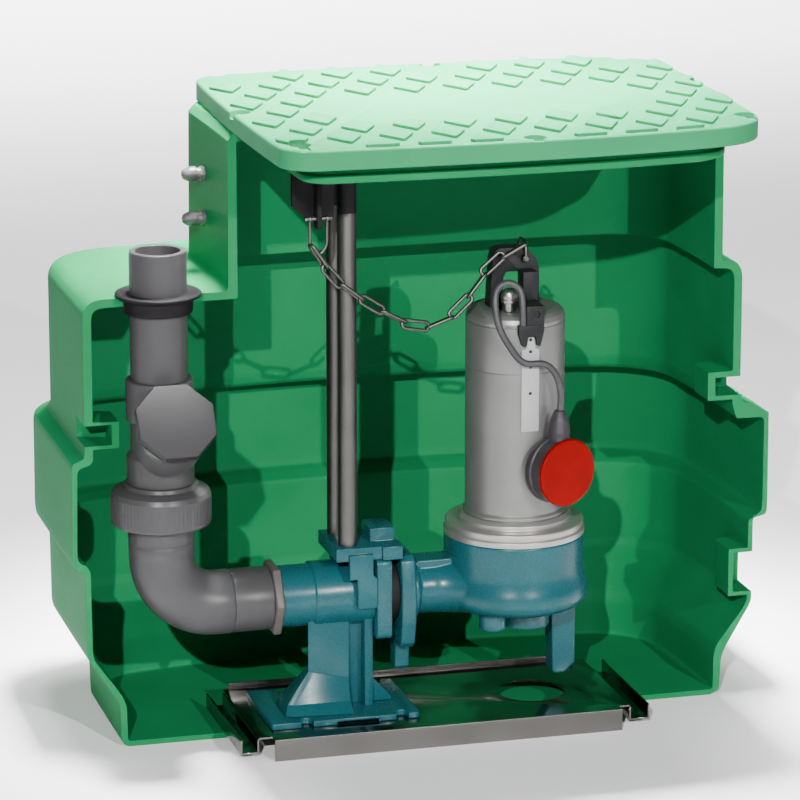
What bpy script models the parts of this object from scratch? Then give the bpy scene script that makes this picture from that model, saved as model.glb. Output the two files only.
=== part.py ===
"""Cutaway sewage lift station: tank cut on its centre plane, lid, pump, coupling foot and riser.

Metres, +Z up. The modelling frame has its origin under the centre of the cut face at floor level,
+X along the cut face to the right and +Y into the tank, and main() moves it all to the row frame.
The front half of the tank is absent, as on the display model.
"""
import math

import bmesh
import bpy
from mathutils import Matrix, Vector

MM = 0.001

# Tank
FLOOR_TOP = 6.3 * MM
NECK_TOP = 686.7 * MM
GAP = 0.3 * MM

# Lid
LID_LEFT = -216 * MM
LID_RIGHT = 330 * MM
LID_HALF_DEPTH = 229 * MM
LID_TOP = 709 * MM
LID_SKIRT_BOTTOM = 687 * MM
LID_PLATE = 8 * MM
LIP_BOTTOM = 666 * MM

# Cable glands in the left side of the neck, where the wall has already curved in a little
GLAND_X = -223.1 * MM
GLAND_Y = 107 * MM

# Discharge line
PIPE_X = -300 * MM
PIPE_R = 31.5 * MM
PIPE_BORE_R = 24.5 * MM
PIPE_TOP = 562.5 * MM
SHELF_TOP = 511.5 * MM
VALVE_TOP = 419.7 * MM
DISCHARGE_Z = 160 * MM
ELBOW_R = 36 * MM
ELBOW_BEND = 57 * MM

# Coupling foot
RAIL_X = -95 * MM
RAIL_Y = 24.5 * MM
RAIL_R = 10.5 * MM
RAIL_END = 598 * MM
RAIL_TOP = 640 * MM

# Tray
TRAY_TOP = 25 * MM
TRAY_Y = 93 * MM
TRAY_LEFT = -211 * MM
TRAY_RIGHT = 217 * MM
LIP_LEFT = -196 * MM
LIP_RIGHT = 205 * MM
TRAY_HOLE_R = 38 * MM

# Pump
PUMP_X = 104.5 * MM
MOTOR_R = 55.3 * MM
CASING_TOP = 461 * MM
HEAD_TOP = 477 * MM
VOLUTE_TOP = 216 * MM
HANDLE_Y = 10 * MM
EYE_X = 112 * MM
EYE_Z = 531 * MM
EYE_R = 4 * MM
BLOCK_LEFT = 99 * MM
BLOCK_RIGHT = 119 * MM
CLAMP_FRONT = -62 * MM
CLAMP_TOP = 466.6 * MM
STRIP_FRONT = -57.2 * MM

# Float on its cable, hanging against the motor
FLOAT_R = 38 * MM
FLOAT_DEPTH = 34 * MM
FLOAT_Z = 301 * MM
FLOAT_ASIDE = 5.2 * MM
FLOAT_NORMAL = Vector((0.368, -0.930, 0.0)).normalized()
CABLE_D = 7.6 * MM
CABLE_STEP = 9 * MM

# Lifting chain and its shackles
CHAIN_D = 9 * MM
CHAIN_STEP = 10 * MM
SHACKLE_WIRE_R = 1.7 * MM

# From the modelling frame on the cut plane to the row frame, under the middle of the whole object
ORIGIN_SHIFT = Vector((-3.5 * MM, -54.5 * MM, 0))


def clear_scene():
    for obj in list(bpy.data.objects):
        bpy.data.objects.remove(obj, do_unlink=True)


def linear(value):
    value = value / 255.0
    return value / 12.92 if value <= 0.04045 else ((value + 0.055) / 1.055) ** 2.4


def paint(obj, rgb, rough=0.5, metal=0.0):
    material = bpy.data.materials.new(obj.name + "_material")
    material.use_nodes = True
    shader = material.node_tree.nodes["Principled BSDF"]
    shader.inputs["Base Color"].default_value = (linear(rgb[0]), linear(rgb[1]), linear(rgb[2]), 1)
    shader.inputs["Roughness"].default_value = rough
    shader.inputs["Metallic"].default_value = metal
    obj.data.materials.clear()
    obj.data.materials.append(material)
    return obj


def make(name, verts, faces):
    mesh = bpy.data.meshes.new(name)
    mesh.from_pydata([tuple(v) for v in verts], [], faces)
    bm = bmesh.new()
    bm.from_mesh(mesh)
    bmesh.ops.remove_doubles(bm, verts=bm.verts, dist=1e-7)
    bmesh.ops.recalc_face_normals(bm, faces=bm.faces)
    bm.to_mesh(mesh)
    bm.free()
    obj = bpy.data.objects.new(name, mesh)
    bpy.context.collection.objects.link(obj)
    return obj


def boolean(target, tool, operation):
    modifier = target.modifiers.new("cut", "BOOLEAN")
    modifier.object = tool
    modifier.operation = operation
    modifier.solver = "EXACT"
    bpy.context.view_layer.update()
    graph = bpy.context.evaluated_depsgraph_get()
    result = bpy.data.meshes.new_from_object(target.evaluated_get(graph))
    target.modifiers.remove(modifier)
    old = target.data
    target.data = result
    bpy.data.meshes.remove(old)
    bpy.data.objects.remove(tool, do_unlink=True)
    return target


def join(target, *tools):
    for tool in tools:
        boolean(target, tool, "UNION")
    return target


def cut(target, *tools):
    for tool in tools:
        boolean(target, tool, "DIFFERENCE")
    return target


def box(name, x0, x1, y0, y1, z0, z1):
    verts = [(x, y, z) for z in (z0, z1) for y in (y0, y1) for x in (x0, x1)]
    faces = [(0, 2, 3, 1), (4, 5, 7, 6), (0, 1, 5, 4), (2, 6, 7, 3), (0, 4, 6, 2), (1, 3, 7, 5)]
    return make(name, verts, faces)


def frame_for(axis):
    axis = Vector(axis).normalized()
    return axis.to_track_quat("Z", "Y").to_matrix().to_4x4()


def lathe(name, profile, centre=(0, 0, 0), axis=(0, 0, 1), segments=48, turn=0.0):
    """Solid of revolution; profile is (radius, height) pairs, radius 0 gives a pole."""
    place = Matrix.Translation(Vector(centre)) @ frame_for(axis)
    verts = []
    rings = []
    for radius, height in profile:
        if radius < 1e-9:
            rings.append([len(verts)])
            verts.append(place @ Vector((0, 0, height)))
            continue
        ring = []
        for i in range(segments):
            a = 2 * math.pi * i / segments + math.radians(turn)
            ring.append(len(verts))
            verts.append(place @ Vector((radius * math.cos(a), radius * math.sin(a), height)))
        rings.append(ring)
    faces = []
    for k in range(len(rings)):
        low = rings[k]
        high = rings[(k + 1) % len(rings)]
        if len(low) == 1 and len(high) == 1:
            continue
        for i in range(segments):
            j = (i + 1) % segments
            if len(low) == 1:
                faces.append((low[0], high[i], high[j]))
            elif len(high) == 1:
                faces.append((low[i], high[0], low[j]))
            else:
                faces.append((low[i], high[i], high[j], low[j]))
    return make(name, verts, faces)


def rod(name, start, end, radius, segments=32):
    start = Vector(start)
    span = Vector(end) - start
    length = span.length
    return lathe(name, [(0, 0), (radius, 0), (radius, length), (0, length)], start, span, segments)


def prism(name, outline, axis, low, high):
    """Extrude a 2-D outline along an axis; the outline is in the other two axes, in order."""
    verts = []
    for level in (low, high):
        for a, b in outline:
            verts.append({"x": (level, a, b), "y": (a, level, b), "z": (a, b, level)}[axis])
    n = len(outline)
    faces = [tuple(range(n)), tuple(range(2 * n - 1, n - 1, -1))]
    for i in range(n):
        j = (i + 1) % n
        faces.append((i, j, n + j, n + i))
    return make(name, verts, faces)


def tube(name, points, radius, bevel_resolution=2):
    curve = bpy.data.curves.new(name, "CURVE")
    curve.dimensions = "3D"
    curve.bevel_depth = radius
    curve.bevel_resolution = bevel_resolution
    curve.use_fill_caps = True
    spline = curve.splines.new("POLY")
    spline.points.add(len(points) - 1)
    for target, point in zip(spline.points, points):
        target.co = (point[0], point[1], point[2], 1)
    obj = bpy.data.objects.new(name, curve)
    bpy.context.collection.objects.link(obj)
    return obj


def solidify(obj):
    """Turn a finished curve into a plain mesh object of the same name."""
    bpy.context.view_layer.update()
    graph = bpy.context.evaluated_depsgraph_get()
    mesh = bpy.data.meshes.new_from_object(obj.evaluated_get(graph))
    name = obj.name
    bpy.data.objects.remove(obj, do_unlink=True)
    solid = bpy.data.objects.new(name, mesh)
    bpy.context.collection.objects.link(solid)
    return solid


def smooth_path(knots, step):
    """Centripetal curve through the knots, resampled at an even step."""
    knots = [Vector(k) for k in knots]
    ends = [knots[0] * 2 - knots[1]] + knots + [knots[-1] * 2 - knots[-2]]
    dense = []
    for i in range(1, len(ends) - 2):
        p0, p1, p2, p3 = ends[i - 1:i + 3]
        for k in range(24):
            t = k / 24
            dense.append(0.5 * ((2 * p1) + (p2 - p0) * t + (2 * p0 - 5 * p1 + 4 * p2 - p3) * t * t
                                + (3 * p1 - p0 - 3 * p2 + p3) * t ** 3))
    dense.append(knots[-1])
    total = sum((b - a).length for a, b in zip(dense, dense[1:]))
    count = max(3, round(total / step))
    out = [dense[0]]
    want = total / count
    walked = 0.0
    for a, b in zip(dense, dense[1:]):
        part = (b - a).length
        while walked + part >= want * len(out) - 1e-12 and len(out) < count:
            out.append(a.lerp(b, (want * len(out) - walked) / part))
        walked += part
    out.append(dense[-1])
    return out


# Plan outlines of the tank: right cut edge, back, left cut edge

SIDE_STATIONS = (0.0, 36 * MM, 45 * MM, 54 * MM, 85 * MM, 120 * MM)


def plan(left, right, back, radius_left, radius_right, bow_back=0.13, bow_side=0.05, bow_left=0.006,
         arc=6, mid=9):
    """Half outline for y >= 0, from (right, 0) round the back to (left, 0)."""
    centre = (left + right) / 2
    half = (right - left) / 2

    def side(sign, radius):
        pts = [(sign * half, y) for y in SIDE_STATIONS]
        start = back - radius
        pts.append((sign * half, 0.5 * (SIDE_STATIONS[-1] + start)))
        for k in range(arc + 1):
            a = 0.5 * math.pi * k / arc
            pts.append((sign * (half - radius + radius * math.cos(a)), start + radius * math.sin(a)))
        return pts

    right_part = side(1, radius_right)
    left_part = side(-1, radius_left)
    x0 = right_part[-1][0]
    x1 = left_part[-1][0]
    back_part = [(x0 + (x1 - x0) * (k + 1) / (mid + 1), back) for k in range(mid)]
    raw = right_part + back_part + list(reversed(left_part))
    out = []
    for x, y in raw:
        fall = 1 - bow_back * (x / half) ** 2
        bow = bow_side if x > 0 else bow_left
        pinch = 1 - bow * (y / back) ** 2
        out.append((centre + x * pinch, y * fall))
    return out


# Tank levels: height, left, right, back, corner radii
OUTER = [
    (0, -340, 341, 258, 60, 60),
    (5, -348, 352, 266, 66, 66),
    (44, -349, 354, 268, 66, 66),
    (56, -353, 359, 272, 66, 66),
    (104, -384, 387, 309, 72, 72),
    (111, -385, 389.5, 312, 72, 72),
    (120.8, -385, 389.5, 312, 72, 72),
    (121.1, -385, 389.5, 312, 72, 72),
    (167.7, -386, 389.5, 312, 72, 72),
    (168, -386, 389.5, 312, 72, 72),
    (199.2, -386, 389.5, 312, 72, 72),
    (202.7, -387, 389.5, 312.5, 72, 72),
    (205.4, -391.5, 389.7, 315, 74, 74),
    (207.7, -394.5, 390.5, 319, 76, 76),
    (211.5, -398.5, 405.5, 332, 80, 80),
    (221, -399.4, 406.4, 338, 82, 82),
    (323, -399, 406, 338, 82, 82),
    (328.7, -397.3, 406, 337, 82, 82),
    (331, -392, 406, 336, 82, 82),
]
OUTER_UP = [
    (331.3, -391.5, 405.6, 335.5, 82, 82),
    (334.5, -385, 401, 327, 78, 78),
    (342.3, -384, 388.5, 307, 72, 72),
    (344.2, -384, 384.5, 303, 71, 71),
    (344.6, -384, 377, 301, 71, 71),
    (346.6, -384, 374.5, 298, 70, 70),
    (347.7, -384, 373, 296, 70, 70),
    (348, -384, 373, 296, 70, 70),
    (354.4, -384, 371.5, 296, 70, 70),
    (354.7, -384, 371.5, 296, 70, 70),
    (370.6, -384, 371, 296, 70, 70),
    (370.9, -384, 371, 296, 70, 70),
    (375.8, -384, 371, 296, 70, 70),
    (376.1, -384, 371, 296, 70, 70),
    (492, -384, 371, 296, 70, 70),
]
INNER_UP = [
    (331.3, -375, 365.8, 290, 60, 60),
    (340, -375, 363, 287.5, 60, 60),
    (344, -374.8, 362, 287, 60, 60),
    (344.3, -374.8, 362, 287, 60, 60),
    (349.3, -374.6, 361.5, 287, 60, 60),
    (349.6, -374.6, 361.5, 287, 60, 60),
    (374, -374.5, 361.5, 287, 60, 60),
    (374.3, -374.5, 361.5, 287, 60, 60),
    (382.2, -374.5, 361.5, 287, 60, 60),
    (382.5, -374.5, 361.5, 287, 60, 60),
    (492, -374.5, 361.5, 287, 60, 60),
]
INNER = [
    (6.3, -341, 344.5, 261.5, 60, 60),
    (47, -342, 345, 262, 60, 60),
    (59, -346.5, 348, 266, 60, 60),
    (102, -376.6, 380.5, 303, 66, 66),
    (111, -379, 384, 306.5, 66, 66),
    (116.4, -379, 384, 306.5, 66, 66),
    (116.7, -379, 384, 306.5, 66, 66),
    (172.3, -379.7, 384, 306.5, 66, 66),
    (172.6, -379.7, 384, 306.5, 66, 66),
    (205, -380, 384, 306.5, 66, 66),
    (212.5, -384.5, 396, 321, 70, 70),
    (216.3, -392.2, 399.5, 331, 76, 76),
    (224, -394.5, 400.5, 332.5, 76, 76),
    (319.3, -392.8, 400.5, 332.5, 76, 76),
    (323.6, -389.7, 400, 331, 76, 76),
    (326.2, -379.7, 397.5, 329, 76, 76),
    (326.8, -378.5, 368, 294, 64, 64),
    (331, -375.2, 366, 290, 60, 60),
]


def level(row):
    z, left, right, back, r_left, r_right = [v * MM for v in row]
    return [Vector((x, y, z)) for x, y in plan(left, right, back, r_left, r_right)]


def press(ring, side, depth_y, shift):
    """Push the wall in beside the cut to form half of a hand recess."""
    out = []
    for p in ring:
        p = p.copy()
        if p.y <= depth_y and p.x * side > 0:
            p.x -= side * shift
        out.append(p)
    return out


def shell(name, outer, inner, closed_floor=False):
    """Wall between two stacks of rings, closed at top, bottom and on the cut plane."""
    verts = []
    faces = []

    def add(rings):
        ids = []
        for ring in rings:
            row = []
            for p in ring:
                row.append(len(verts))
                verts.append(p)
            ids.append(row)
        for a, b in zip(ids, ids[1:]):
            for i in range(len(a) - 1):
                faces.append((a[i], a[i + 1], b[i + 1], b[i]))
        return ids

    out_ids = add(outer)
    in_ids = add(inner)
    top_o = out_ids[-1]
    top_i = in_ids[-1]
    for i in range(len(top_o) - 1):
        faces.append((top_o[i], top_o[i + 1], top_i[i + 1], top_i[i]))
    right_o = [r[0] for r in out_ids]
    right_i = [r[0] for r in in_ids]
    left_o = [r[-1] for r in out_ids]
    left_i = [r[-1] for r in in_ids]
    if closed_floor:
        faces.append(tuple(out_ids[0]))
        faces.append(tuple(in_ids[0]))
        faces.append(tuple(right_o + right_i[::-1] + left_i + left_o[::-1]))
    else:
        low_o = out_ids[0]
        low_i = in_ids[0]
        for i in range(len(low_o) - 1):
            faces.append((low_o[i], low_o[i + 1], low_i[i + 1], low_i[i]))
        faces.append(tuple(right_o + right_i[::-1]))
        faces.append(tuple(left_o + left_i[::-1]))
    return make(name, verts, faces)


def between(table, low, high):
    return [row for row in table if low - 1e-6 <= row[0] <= high + 1e-6]


GREEN = (52, 158, 98)
GREY = (120, 118, 120)
BLUE = (64, 118, 130)
STEEL = (150, 148, 144)
DARK = (66, 62, 66)


def build_tank():
    # floor and toe slope
    outer = [level(r) for r in between(OUTER, 0, 104)]
    inner = [level(r) for r in between(INNER, 0, 102)]
    split_o = level((103.7, -383.8, 386.8, 308.8, 72, 72))
    split_i = level((103.7, -377.2, 381.7, 303.8, 66, 66))
    outer[-1] = split_o
    inner[-1] = split_i
    paint(shell("tank_base", outer, inner, closed_floor=True), GREEN)

    # lower wall with the right hand recess
    outer = []
    first = [(104, -384, 387, 309, 72, 72)]
    last = [(209.7, -396.6, 397.5, 325, 78, 78)]
    for row in first + between(OUTER, 111, 208) + last:
        depth = 23 if 121 <= row[0] <= 167.8 else 0
        outer.append(press(level(row), 1, 36.5 * MM, depth * MM))
    inner = []
    first = [(104, -377.3, 382, 304, 66, 66)]
    last = [(209.7, -382.6, 391.5, 314.5, 68, 68)]
    for row in first + between(INNER, 111, 206) + last:
        depth = 23 if 116.6 <= row[0] <= 172.4 else 0
        inner.append(press(level(row), 1, 45.5 * MM, depth * MM))
    paint(shell("tank_lower_wall", outer, inner), GREEN)

    # rib band
    outer = [level((210, -397, 399, 326.5, 79, 79))] + [level(r) for r in between(OUTER, 211, 331)]
    inner = [level((210, -382.8, 392, 315, 68, 68))] + [level(r) for r in between(INNER, 212, 331)]
    paint(shell("tank_rib_band", outer, inner), GREEN)

    # upper wall with a hand recess on each side
    outer = []
    for row in OUTER_UP:
        ring = press(level(row), 1, 36.5 * MM, (30 if 354.5 <= row[0] <= 375.9 else 0) * MM)
        outer.append(press(ring, -1, 36.5 * MM, (30.5 if 347.9 <= row[0] <= 370.7 else 0) * MM))
    inner = []
    for row in INNER_UP:
        ring = press(level(row), 1, 45.5 * MM, (29.7 if 349.5 <= row[0] <= 382.3 else 0) * MM)
        inner.append(press(ring, -1, 45.5 * MM, (29.2 if 344.2 <= row[0] <= 374.1 else 0) * MM))
    paint(shell("tank_upper_wall", outer, inner), GREEN)

    # deck: rounded shoulder, flat shelf and the foot of the neck
    outer = [
        level((492.3, -384, 371, 296, 70, 70)),
        level((498, -383, 370, 294.5, 68, 68)),
        level((505, -379, 367, 289, 62, 64)),
        level((509.5, -373, 362, 282, 56, 60)),
        level((511.5, -364, 356, 272, 48, 56)),
    ]
    outer.append([Vector((x, y, 511.5 * MM)) for x, y in neck_plan(-229, 352, 221)])
    outer.append([Vector((x, y, 514.5 * MM)) for x, y in neck_plan(-223, 348, 215)])
    outer.append([Vector((x, y, 520 * MM)) for x, y in neck_plan(-221, 346, 213)])
    inner = [
        level((492.3, -374.5, 361.5, 287, 60, 60)),
        level((497, -373, 360, 285, 58, 58)),
        level((501, -367, 356, 278, 52, 54)),
        level((502, -360, 352, 268, 44, 50)),
    ]
    inner.append([Vector((x, y, 502.3 * MM)) for x, y in neck_plan(-211.5, 337, 204)])
    inner.append([Vector((x, y, 520 * MM)) for x, y in neck_plan(-211.5, 336.5, 203.5)])
    deck = shell("tank_deck", outer, inner)
    hole = rod("seal_hole", (PIPE_X, 0, 0.48), (PIPE_X, 0, 0.53), 38.5 * MM, 64)
    cut(deck, hole)
    paint(deck, GREEN)

    # neck with its inward rim
    outer = [[Vector((x, y, z * MM)) for x, y in neck_plan(-221, 346, 213)] for z in (520.3, 678)]
    outer.append([Vector((x, y, NECK_TOP)) for x, y in neck_plan(-215, 340, 207)])
    inner = [[Vector((x, y, z * MM)) for x, y in neck_plan(-211.5, 336.5, 203.5)] for z in (520.3, 677)]
    inner.append([Vector((x, y, 678.5 * MM)) for x, y in neck_plan(-189, 299, 201.5)])
    inner.append([Vector((x, y, NECK_TOP)) for x, y in neck_plan(-189, 299, 201.5)])
    paint(shell("tank_neck", outer, inner), GREEN)


def neck_plan(left, right, back):
    return plan(left * MM, right * MM, back * MM, 34 * MM, 58 * MM, 0.05, 0.04, -0.02)


def lid_ring(left, right, back, z, r_left=34, r_right=56):
    half = plan(left, right, back, r_left * MM, r_right * MM, 0.035, 0.02, 0.02)
    # the right end is narrower than the left
    half = [(x, y * (1 - 0.075 * max(0.0, (x - 0.05) / 0.28) ** 2)) for x, y in half]
    pts = half + [(x, -y) for x, y in reversed(half[1:-1])]
    return [Vector((x, y, z)) for x, y in pts]


def ring_solid(name, rings, cap_first=False, cap_last=False):
    """Loft closed rings; without caps the last ring joins the first."""
    verts = []
    ids = []
    for ring in rings:
        ids.append(list(range(len(verts), len(verts) + len(ring))))
        verts += ring
    faces = []
    pairs = list(zip(ids, ids[1:]))
    if not (cap_first or cap_last):
        pairs.append((ids[-1], ids[0]))
    for a, b in pairs:
        n = len(a)
        for i in range(n):
            j = (i + 1) % n
            faces.append((a[i], a[j], b[j], b[i]))
    if cap_first:
        faces.append(tuple(ids[0]))
    if cap_last:
        faces.append(tuple(reversed(ids[-1])))
    return make(name, verts, faces)


def build_lid():
    def r(inward, z):
        return lid_ring(LID_LEFT + inward, LID_RIGHT - inward, LID_HALF_DEPTH - inward, z,
                        34 - inward / MM, 56 - inward / MM)

    rings = [
        r(LID_PLATE, LID_TOP - LID_PLATE),
        r(LID_PLATE, LID_SKIRT_BOTTOM),
        r(0, LID_SKIRT_BOTTOM),
        r(0, LID_TOP - 3 * MM),
        r(1 * MM, LID_TOP - 1 * MM),
        r(3.5 * MM, LID_TOP),
    ]
    paint(ring_solid("lid_plate", rings, True, True), (120, 196, 150), 0.4)

    def lip(inward, z):
        return lid_ring(LID_LEFT + inward, LID_RIGHT - inward, LID_HALF_DEPTH - inward, z, 24, 40)

    top = LID_TOP - LID_PLATE - GAP
    rings = [
        lip(30 * MM, LIP_BOTTOM),
        lip(30 * MM, LIP_BOTTOM + 8 * MM),
        lip(35 * MM, LIP_BOTTOM + 9 * MM),
        lip(35 * MM, top),
        lip(42 * MM, top),
        lip(42 * MM, LIP_BOTTOM),
    ]
    paint(ring_solid("lid_inner_lip", rings), GREEN)


def build_glands():
    for name, z in (("cable_gland_upper", 621.3 * MM), ("cable_gland_lower", 571 * MM)):
        gland = lathe(name, [(0, 0), (9 * MM, 0), (9 * MM, 4 * MM), (7 * MM, 4.4 * MM), (7 * MM, 9 * MM),
                             (8.4 * MM, 9.4 * MM), (8.4 * MM, 17 * MM), (6 * MM, 23 * MM),
                             (4 * MM, 25 * MM), (0, 25 * MM)], (GLAND_X, GLAND_Y, z), (-1, 0, 0), 24)
        paint(gland, (112, 112, 114))


def build_discharge():
    riser = lathe("riser_pipe", [(PIPE_R, VALVE_TOP + GAP), (PIPE_R, PIPE_TOP), (PIPE_BORE_R, PIPE_TOP),
                                 (PIPE_BORE_R, VALVE_TOP + GAP)], (PIPE_X, 0, 0), segments=48)
    paint(riser, GREY)
    inner = PIPE_R + GAP
    seal = lathe("pipe_seal", [(inner, 0.4945), (37 * MM, 0.4945), (38 * MM, 0.497),
                               (38 * MM, SHELF_TOP + GAP), (47 * MM, SHELF_TOP + 1 * MM), (47.5 * MM, SHELF_TOP + 4 * MM),
                               (44 * MM, SHELF_TOP + 5.5 * MM), (inner, SHELF_TOP + 3.5 * MM)],
                 (PIPE_X, 0, 0), segments=48)
    paint(seal, (52, 48, 52), 0.7)

    # ball valve housing: upright body and the inclined branch
    body = lathe("check_valve_body", [(0, 0.3033), (37 * MM, 0.3033), (37 * MM, 0.3335), (32.5 * MM, 0.3395),
                                      (32.5 * MM, 0.3705), (37 * MM, 0.375), (37 * MM, VALVE_TOP),
                                      (0, VALVE_TOP)], (PIPE_X, 0, 0), segments=48)
    tilt = math.radians(38)
    direction = Vector((0, -math.cos(tilt), math.sin(tilt)))
    face = Vector((PIPE_X, -85 * MM, 393 * MM))
    back = face - direction * 0.0145
    branch = lathe("branch", [(0, -0.075), (26 * MM, -0.075), (37 * MM, -0.05), (39 * MM, -0.012),
                              (39 * MM, -0.0003), (0, -0.0003)], back, direction, 48)
    join(body, branch)
    trim = box("trim", PIPE_X - 0.09, PIPE_X + 0.09, -0.12, 0.08, 0.25, 0.3033)
    cut(body, trim)
    paint(body, GREY)
    cap = lathe("check_valve_cap", [(0, 0), (40 * MM, 0), (43 * MM, 3 * MM), (46 * MM, 3.5 * MM),
                                    (46 * MM, 13.5 * MM), (45 * MM, 14.5 * MM), (0, 14.5 * MM)],
                back, direction, 8, 22.5)
    paint(cap, (122, 121, 122))

    nut = lathe("union_nut", [(0, 0.257), (54 * MM, 0.257), (55.5 * MM, 0.259), (55.5 * MM, 0.289),
                              (53 * MM, 0.2945), (46 * MM, 0.2985), (41 * MM, 0.303), (0, 0.303)],
                (PIPE_X, 0, 0), segments=48)
    paint(nut, GREY)

    # elbow from the union down and round to the coupling
    centre = Vector((PIPE_X + ELBOW_BEND, 0, DISCHARGE_Z + ELBOW_BEND))
    verts = []
    rings = []
    path = [(Vector((PIPE_X, 0, 0.257 - GAP)), 0.0)]
    for k in range(9):
        a = 0.5 * math.pi * k / 8
        path.append((centre + ELBOW_BEND * Vector((-math.cos(a), 0, -math.sin(a))), a))
    path.append((Vector((-0.225, 0, DISCHARGE_Z)), 0.5 * math.pi))
    for point, a in path:
        side = Vector((-math.cos(a), 0, -math.sin(a)))
        ring = []
        for i in range(40):
            b = 2 * math.pi * i / 40
            offset = ELBOW_R * (math.cos(b) * side + math.sin(b) * Vector((0, 1, 0)))
            ring.append(point + offset)
        rings.append(ring)
    elbow = ring_solid("discharge_elbow", rings, True, True)
    paint(elbow, GREY)
    sleeve = rod("pipe_sleeve", (-0.225 + GAP, 0, DISCHARGE_Z), (-0.180 - GAP, 0, DISCHARGE_Z), 35.5 * MM, 48)
    paint(sleeve, GREY)
    hexnut = lathe("adapter_nut", [(0, 0), (41 * MM, 0), (43 * MM, 1.5 * MM), (43 * MM, 8.5 * MM),
                                   (41 * MM, 10 * MM), (0, 10 * MM)], (-0.180, 0, DISCHARGE_Z), (1, 0, 0), 6)
    paint(hexnut, (112, 110, 112))


# Spreading foot of the coupling's pedestal: three rings of corners, from the plate upwards
FLARE = (
    ((-0.1645, 0.0140, 0.0327), (-0.1645, -0.0335, 0.0327), (-0.1500, -0.0440, 0.0327),
     (-0.0945, -0.0500, 0.0327), (-0.0945, 0.0360, 0.0327), (-0.1270, 0.0360, 0.0327)),
    ((-0.1585, 0.0110, 0.0425), (-0.1593, -0.0305, 0.0425), (-0.1460, -0.0330, 0.0425),
     (-0.0945, -0.0330, 0.0425), (-0.0945, 0.0330, 0.0425), (-0.1260, 0.0330, 0.0425)),
    ((-0.1345, 0.0000, 0.0775), (-0.1405, -0.0245, 0.0775), (-0.1320, -0.0245, 0.0750),
     (-0.0945, -0.0245, 0.0670), (-0.0945, 0.0245, 0.0700), (-0.1230, 0.0245, 0.0775)),
)


def build_foot():
    z = DISCHARGE_Z
    foot = lathe("coupling_foot", [(0, -0.1697), (34.5 * MM, -0.1697), (34.5 * MM, -0.134), (37 * MM, -0.132),
                                   (37 * MM, -0.0653), (0, -0.0653)], (0, 0, z), (1, 0, 0), 48)
    outline = [(-0.1405, -0.024), (-0.094, -0.024), (-0.094, -0.010), (-0.076, -0.010), (-0.076, -0.026),
               (-0.067, -0.026), (-0.067, 0.026), (-0.076, 0.026), (-0.076, 0.010), (-0.094, 0.010),
               (-0.094, 0.024), (-0.123, 0.024)]
    pedestal = prism("pedestal", outline, "z", 0.0323, z - 0.0105)
    flare = ring_solid("flare", [[Vector(v) for v in ring] for ring in FLARE], True, True)
    toe = prism("toe", [(-0.0695, 0.0329), (-0.042, 0.0329), (-0.042, 0.036), (-0.0695, 0.066)],
                "y", -0.0122, 0.0122)
    join(foot, pedestal, flare, toe)
    paint(foot, BLUE, 0.45)

    plate = prism("foot_base_plate", [(-0.192, -0.062), (-0.022, -0.062), (-0.022, 0.062), (-0.192, 0.062)],
                  "z", TRAY_TOP + GAP, 0.032)
    slots = [box("slot", x - 0.005, x + 0.005, y0, y1, 0, 0.05)
             for x in (-0.172, -0.042) for y0, y1 in ((-0.08, -0.046), (0.046, 0.08))]
    cut(plate, *slots)
    paint(plate, BLUE, 0.45)

    flange = prism("foot_flange", rounded(-0.040, 0.040, 0.112, 0.2057, 0.008), "x", -0.065, -0.048)
    paint(flange, BLUE, 0.45)
    seal = rod("flange_seal", (-0.048 + GAP, 0, z), (-0.037 - GAP, 0, z), 37 * MM, 48)
    paint(seal, (40, 44, 48), 0.7)

    bracket = box("slide_bracket", -0.112, -0.0373, -0.041, 0.041, 0.2063, 0.2213)
    step = [(-0.098, 0.214), (-0.098, 0.186), (-0.0885, 0.186), (-0.0885, 0.152), (-0.0665, 0.152),
            (-0.0665, 0.186), (-0.071, 0.190), (-0.071, 0.214)]
    cheeks = [prism("cheek", step, "y", y0, y1) for y0, y1 in ((-0.046, -0.0385), (0.0385, 0.046))]
    hook = box("hook", -0.068, -0.040, -0.020, 0.020, 0.218, 0.236)
    nose = box("nose", -0.060, -0.0373, -0.046, 0.046, 0.2063, 0.2213)
    join(bracket, *cheeks, hook, nose)
    paint(bracket, BLUE, 0.45)

    pump_flange = prism("pump_flange", [(-0.036, 0.104), (-0.030, 0.098), (-0.012, 0.098), (-0.010, 0.070),
                                        (-0.006, 0.066), (0.006, 0.066), (0.010, 0.070), (0.012, 0.098),
                                        (0.030, 0.098), (0.036, 0.104), (0.042, 0.130), (0.043, 0.152),
                                        (0.042, 0.174), (0.036, 0.200), (0.030, 0.2055), (-0.030, 0.2055),
                                        (-0.036, 0.200), (-0.042, 0.174), (-0.043, 0.152), (-0.042, 0.130)],
                        "x", -0.037, -0.0203)
    paint(pump_flange, BLUE, 0.45)

    for name, y in (("guide_rail_front", -RAIL_Y), ("guide_rail_rear", RAIL_Y)):
        rail = lathe(name, [(RAIL_R, 0.2213 + GAP), (RAIL_R, RAIL_END), (RAIL_R - 2 * MM, RAIL_END),
                            (RAIL_R - 2 * MM, 0.2213 + GAP)], (RAIL_X, y, 0), segments=32)
        paint(rail, STEEL, 0.35, 0.9)


def rounded(a0, a1, b0, b1, radius, steps=4):
    out = []
    for ca, cb, start in ((a1 - radius, b0 + radius, -90), (a1 - radius, b1 - radius, 0),
                          (a0 + radius, b1 - radius, 90), (a0 + radius, b0 + radius, 180)):
        for k in range(steps + 1):
            t = math.radians(start + 90 * k / steps)
            out.append((ca + radius * math.cos(t), cb + radius * math.sin(t)))
    return out


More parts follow.
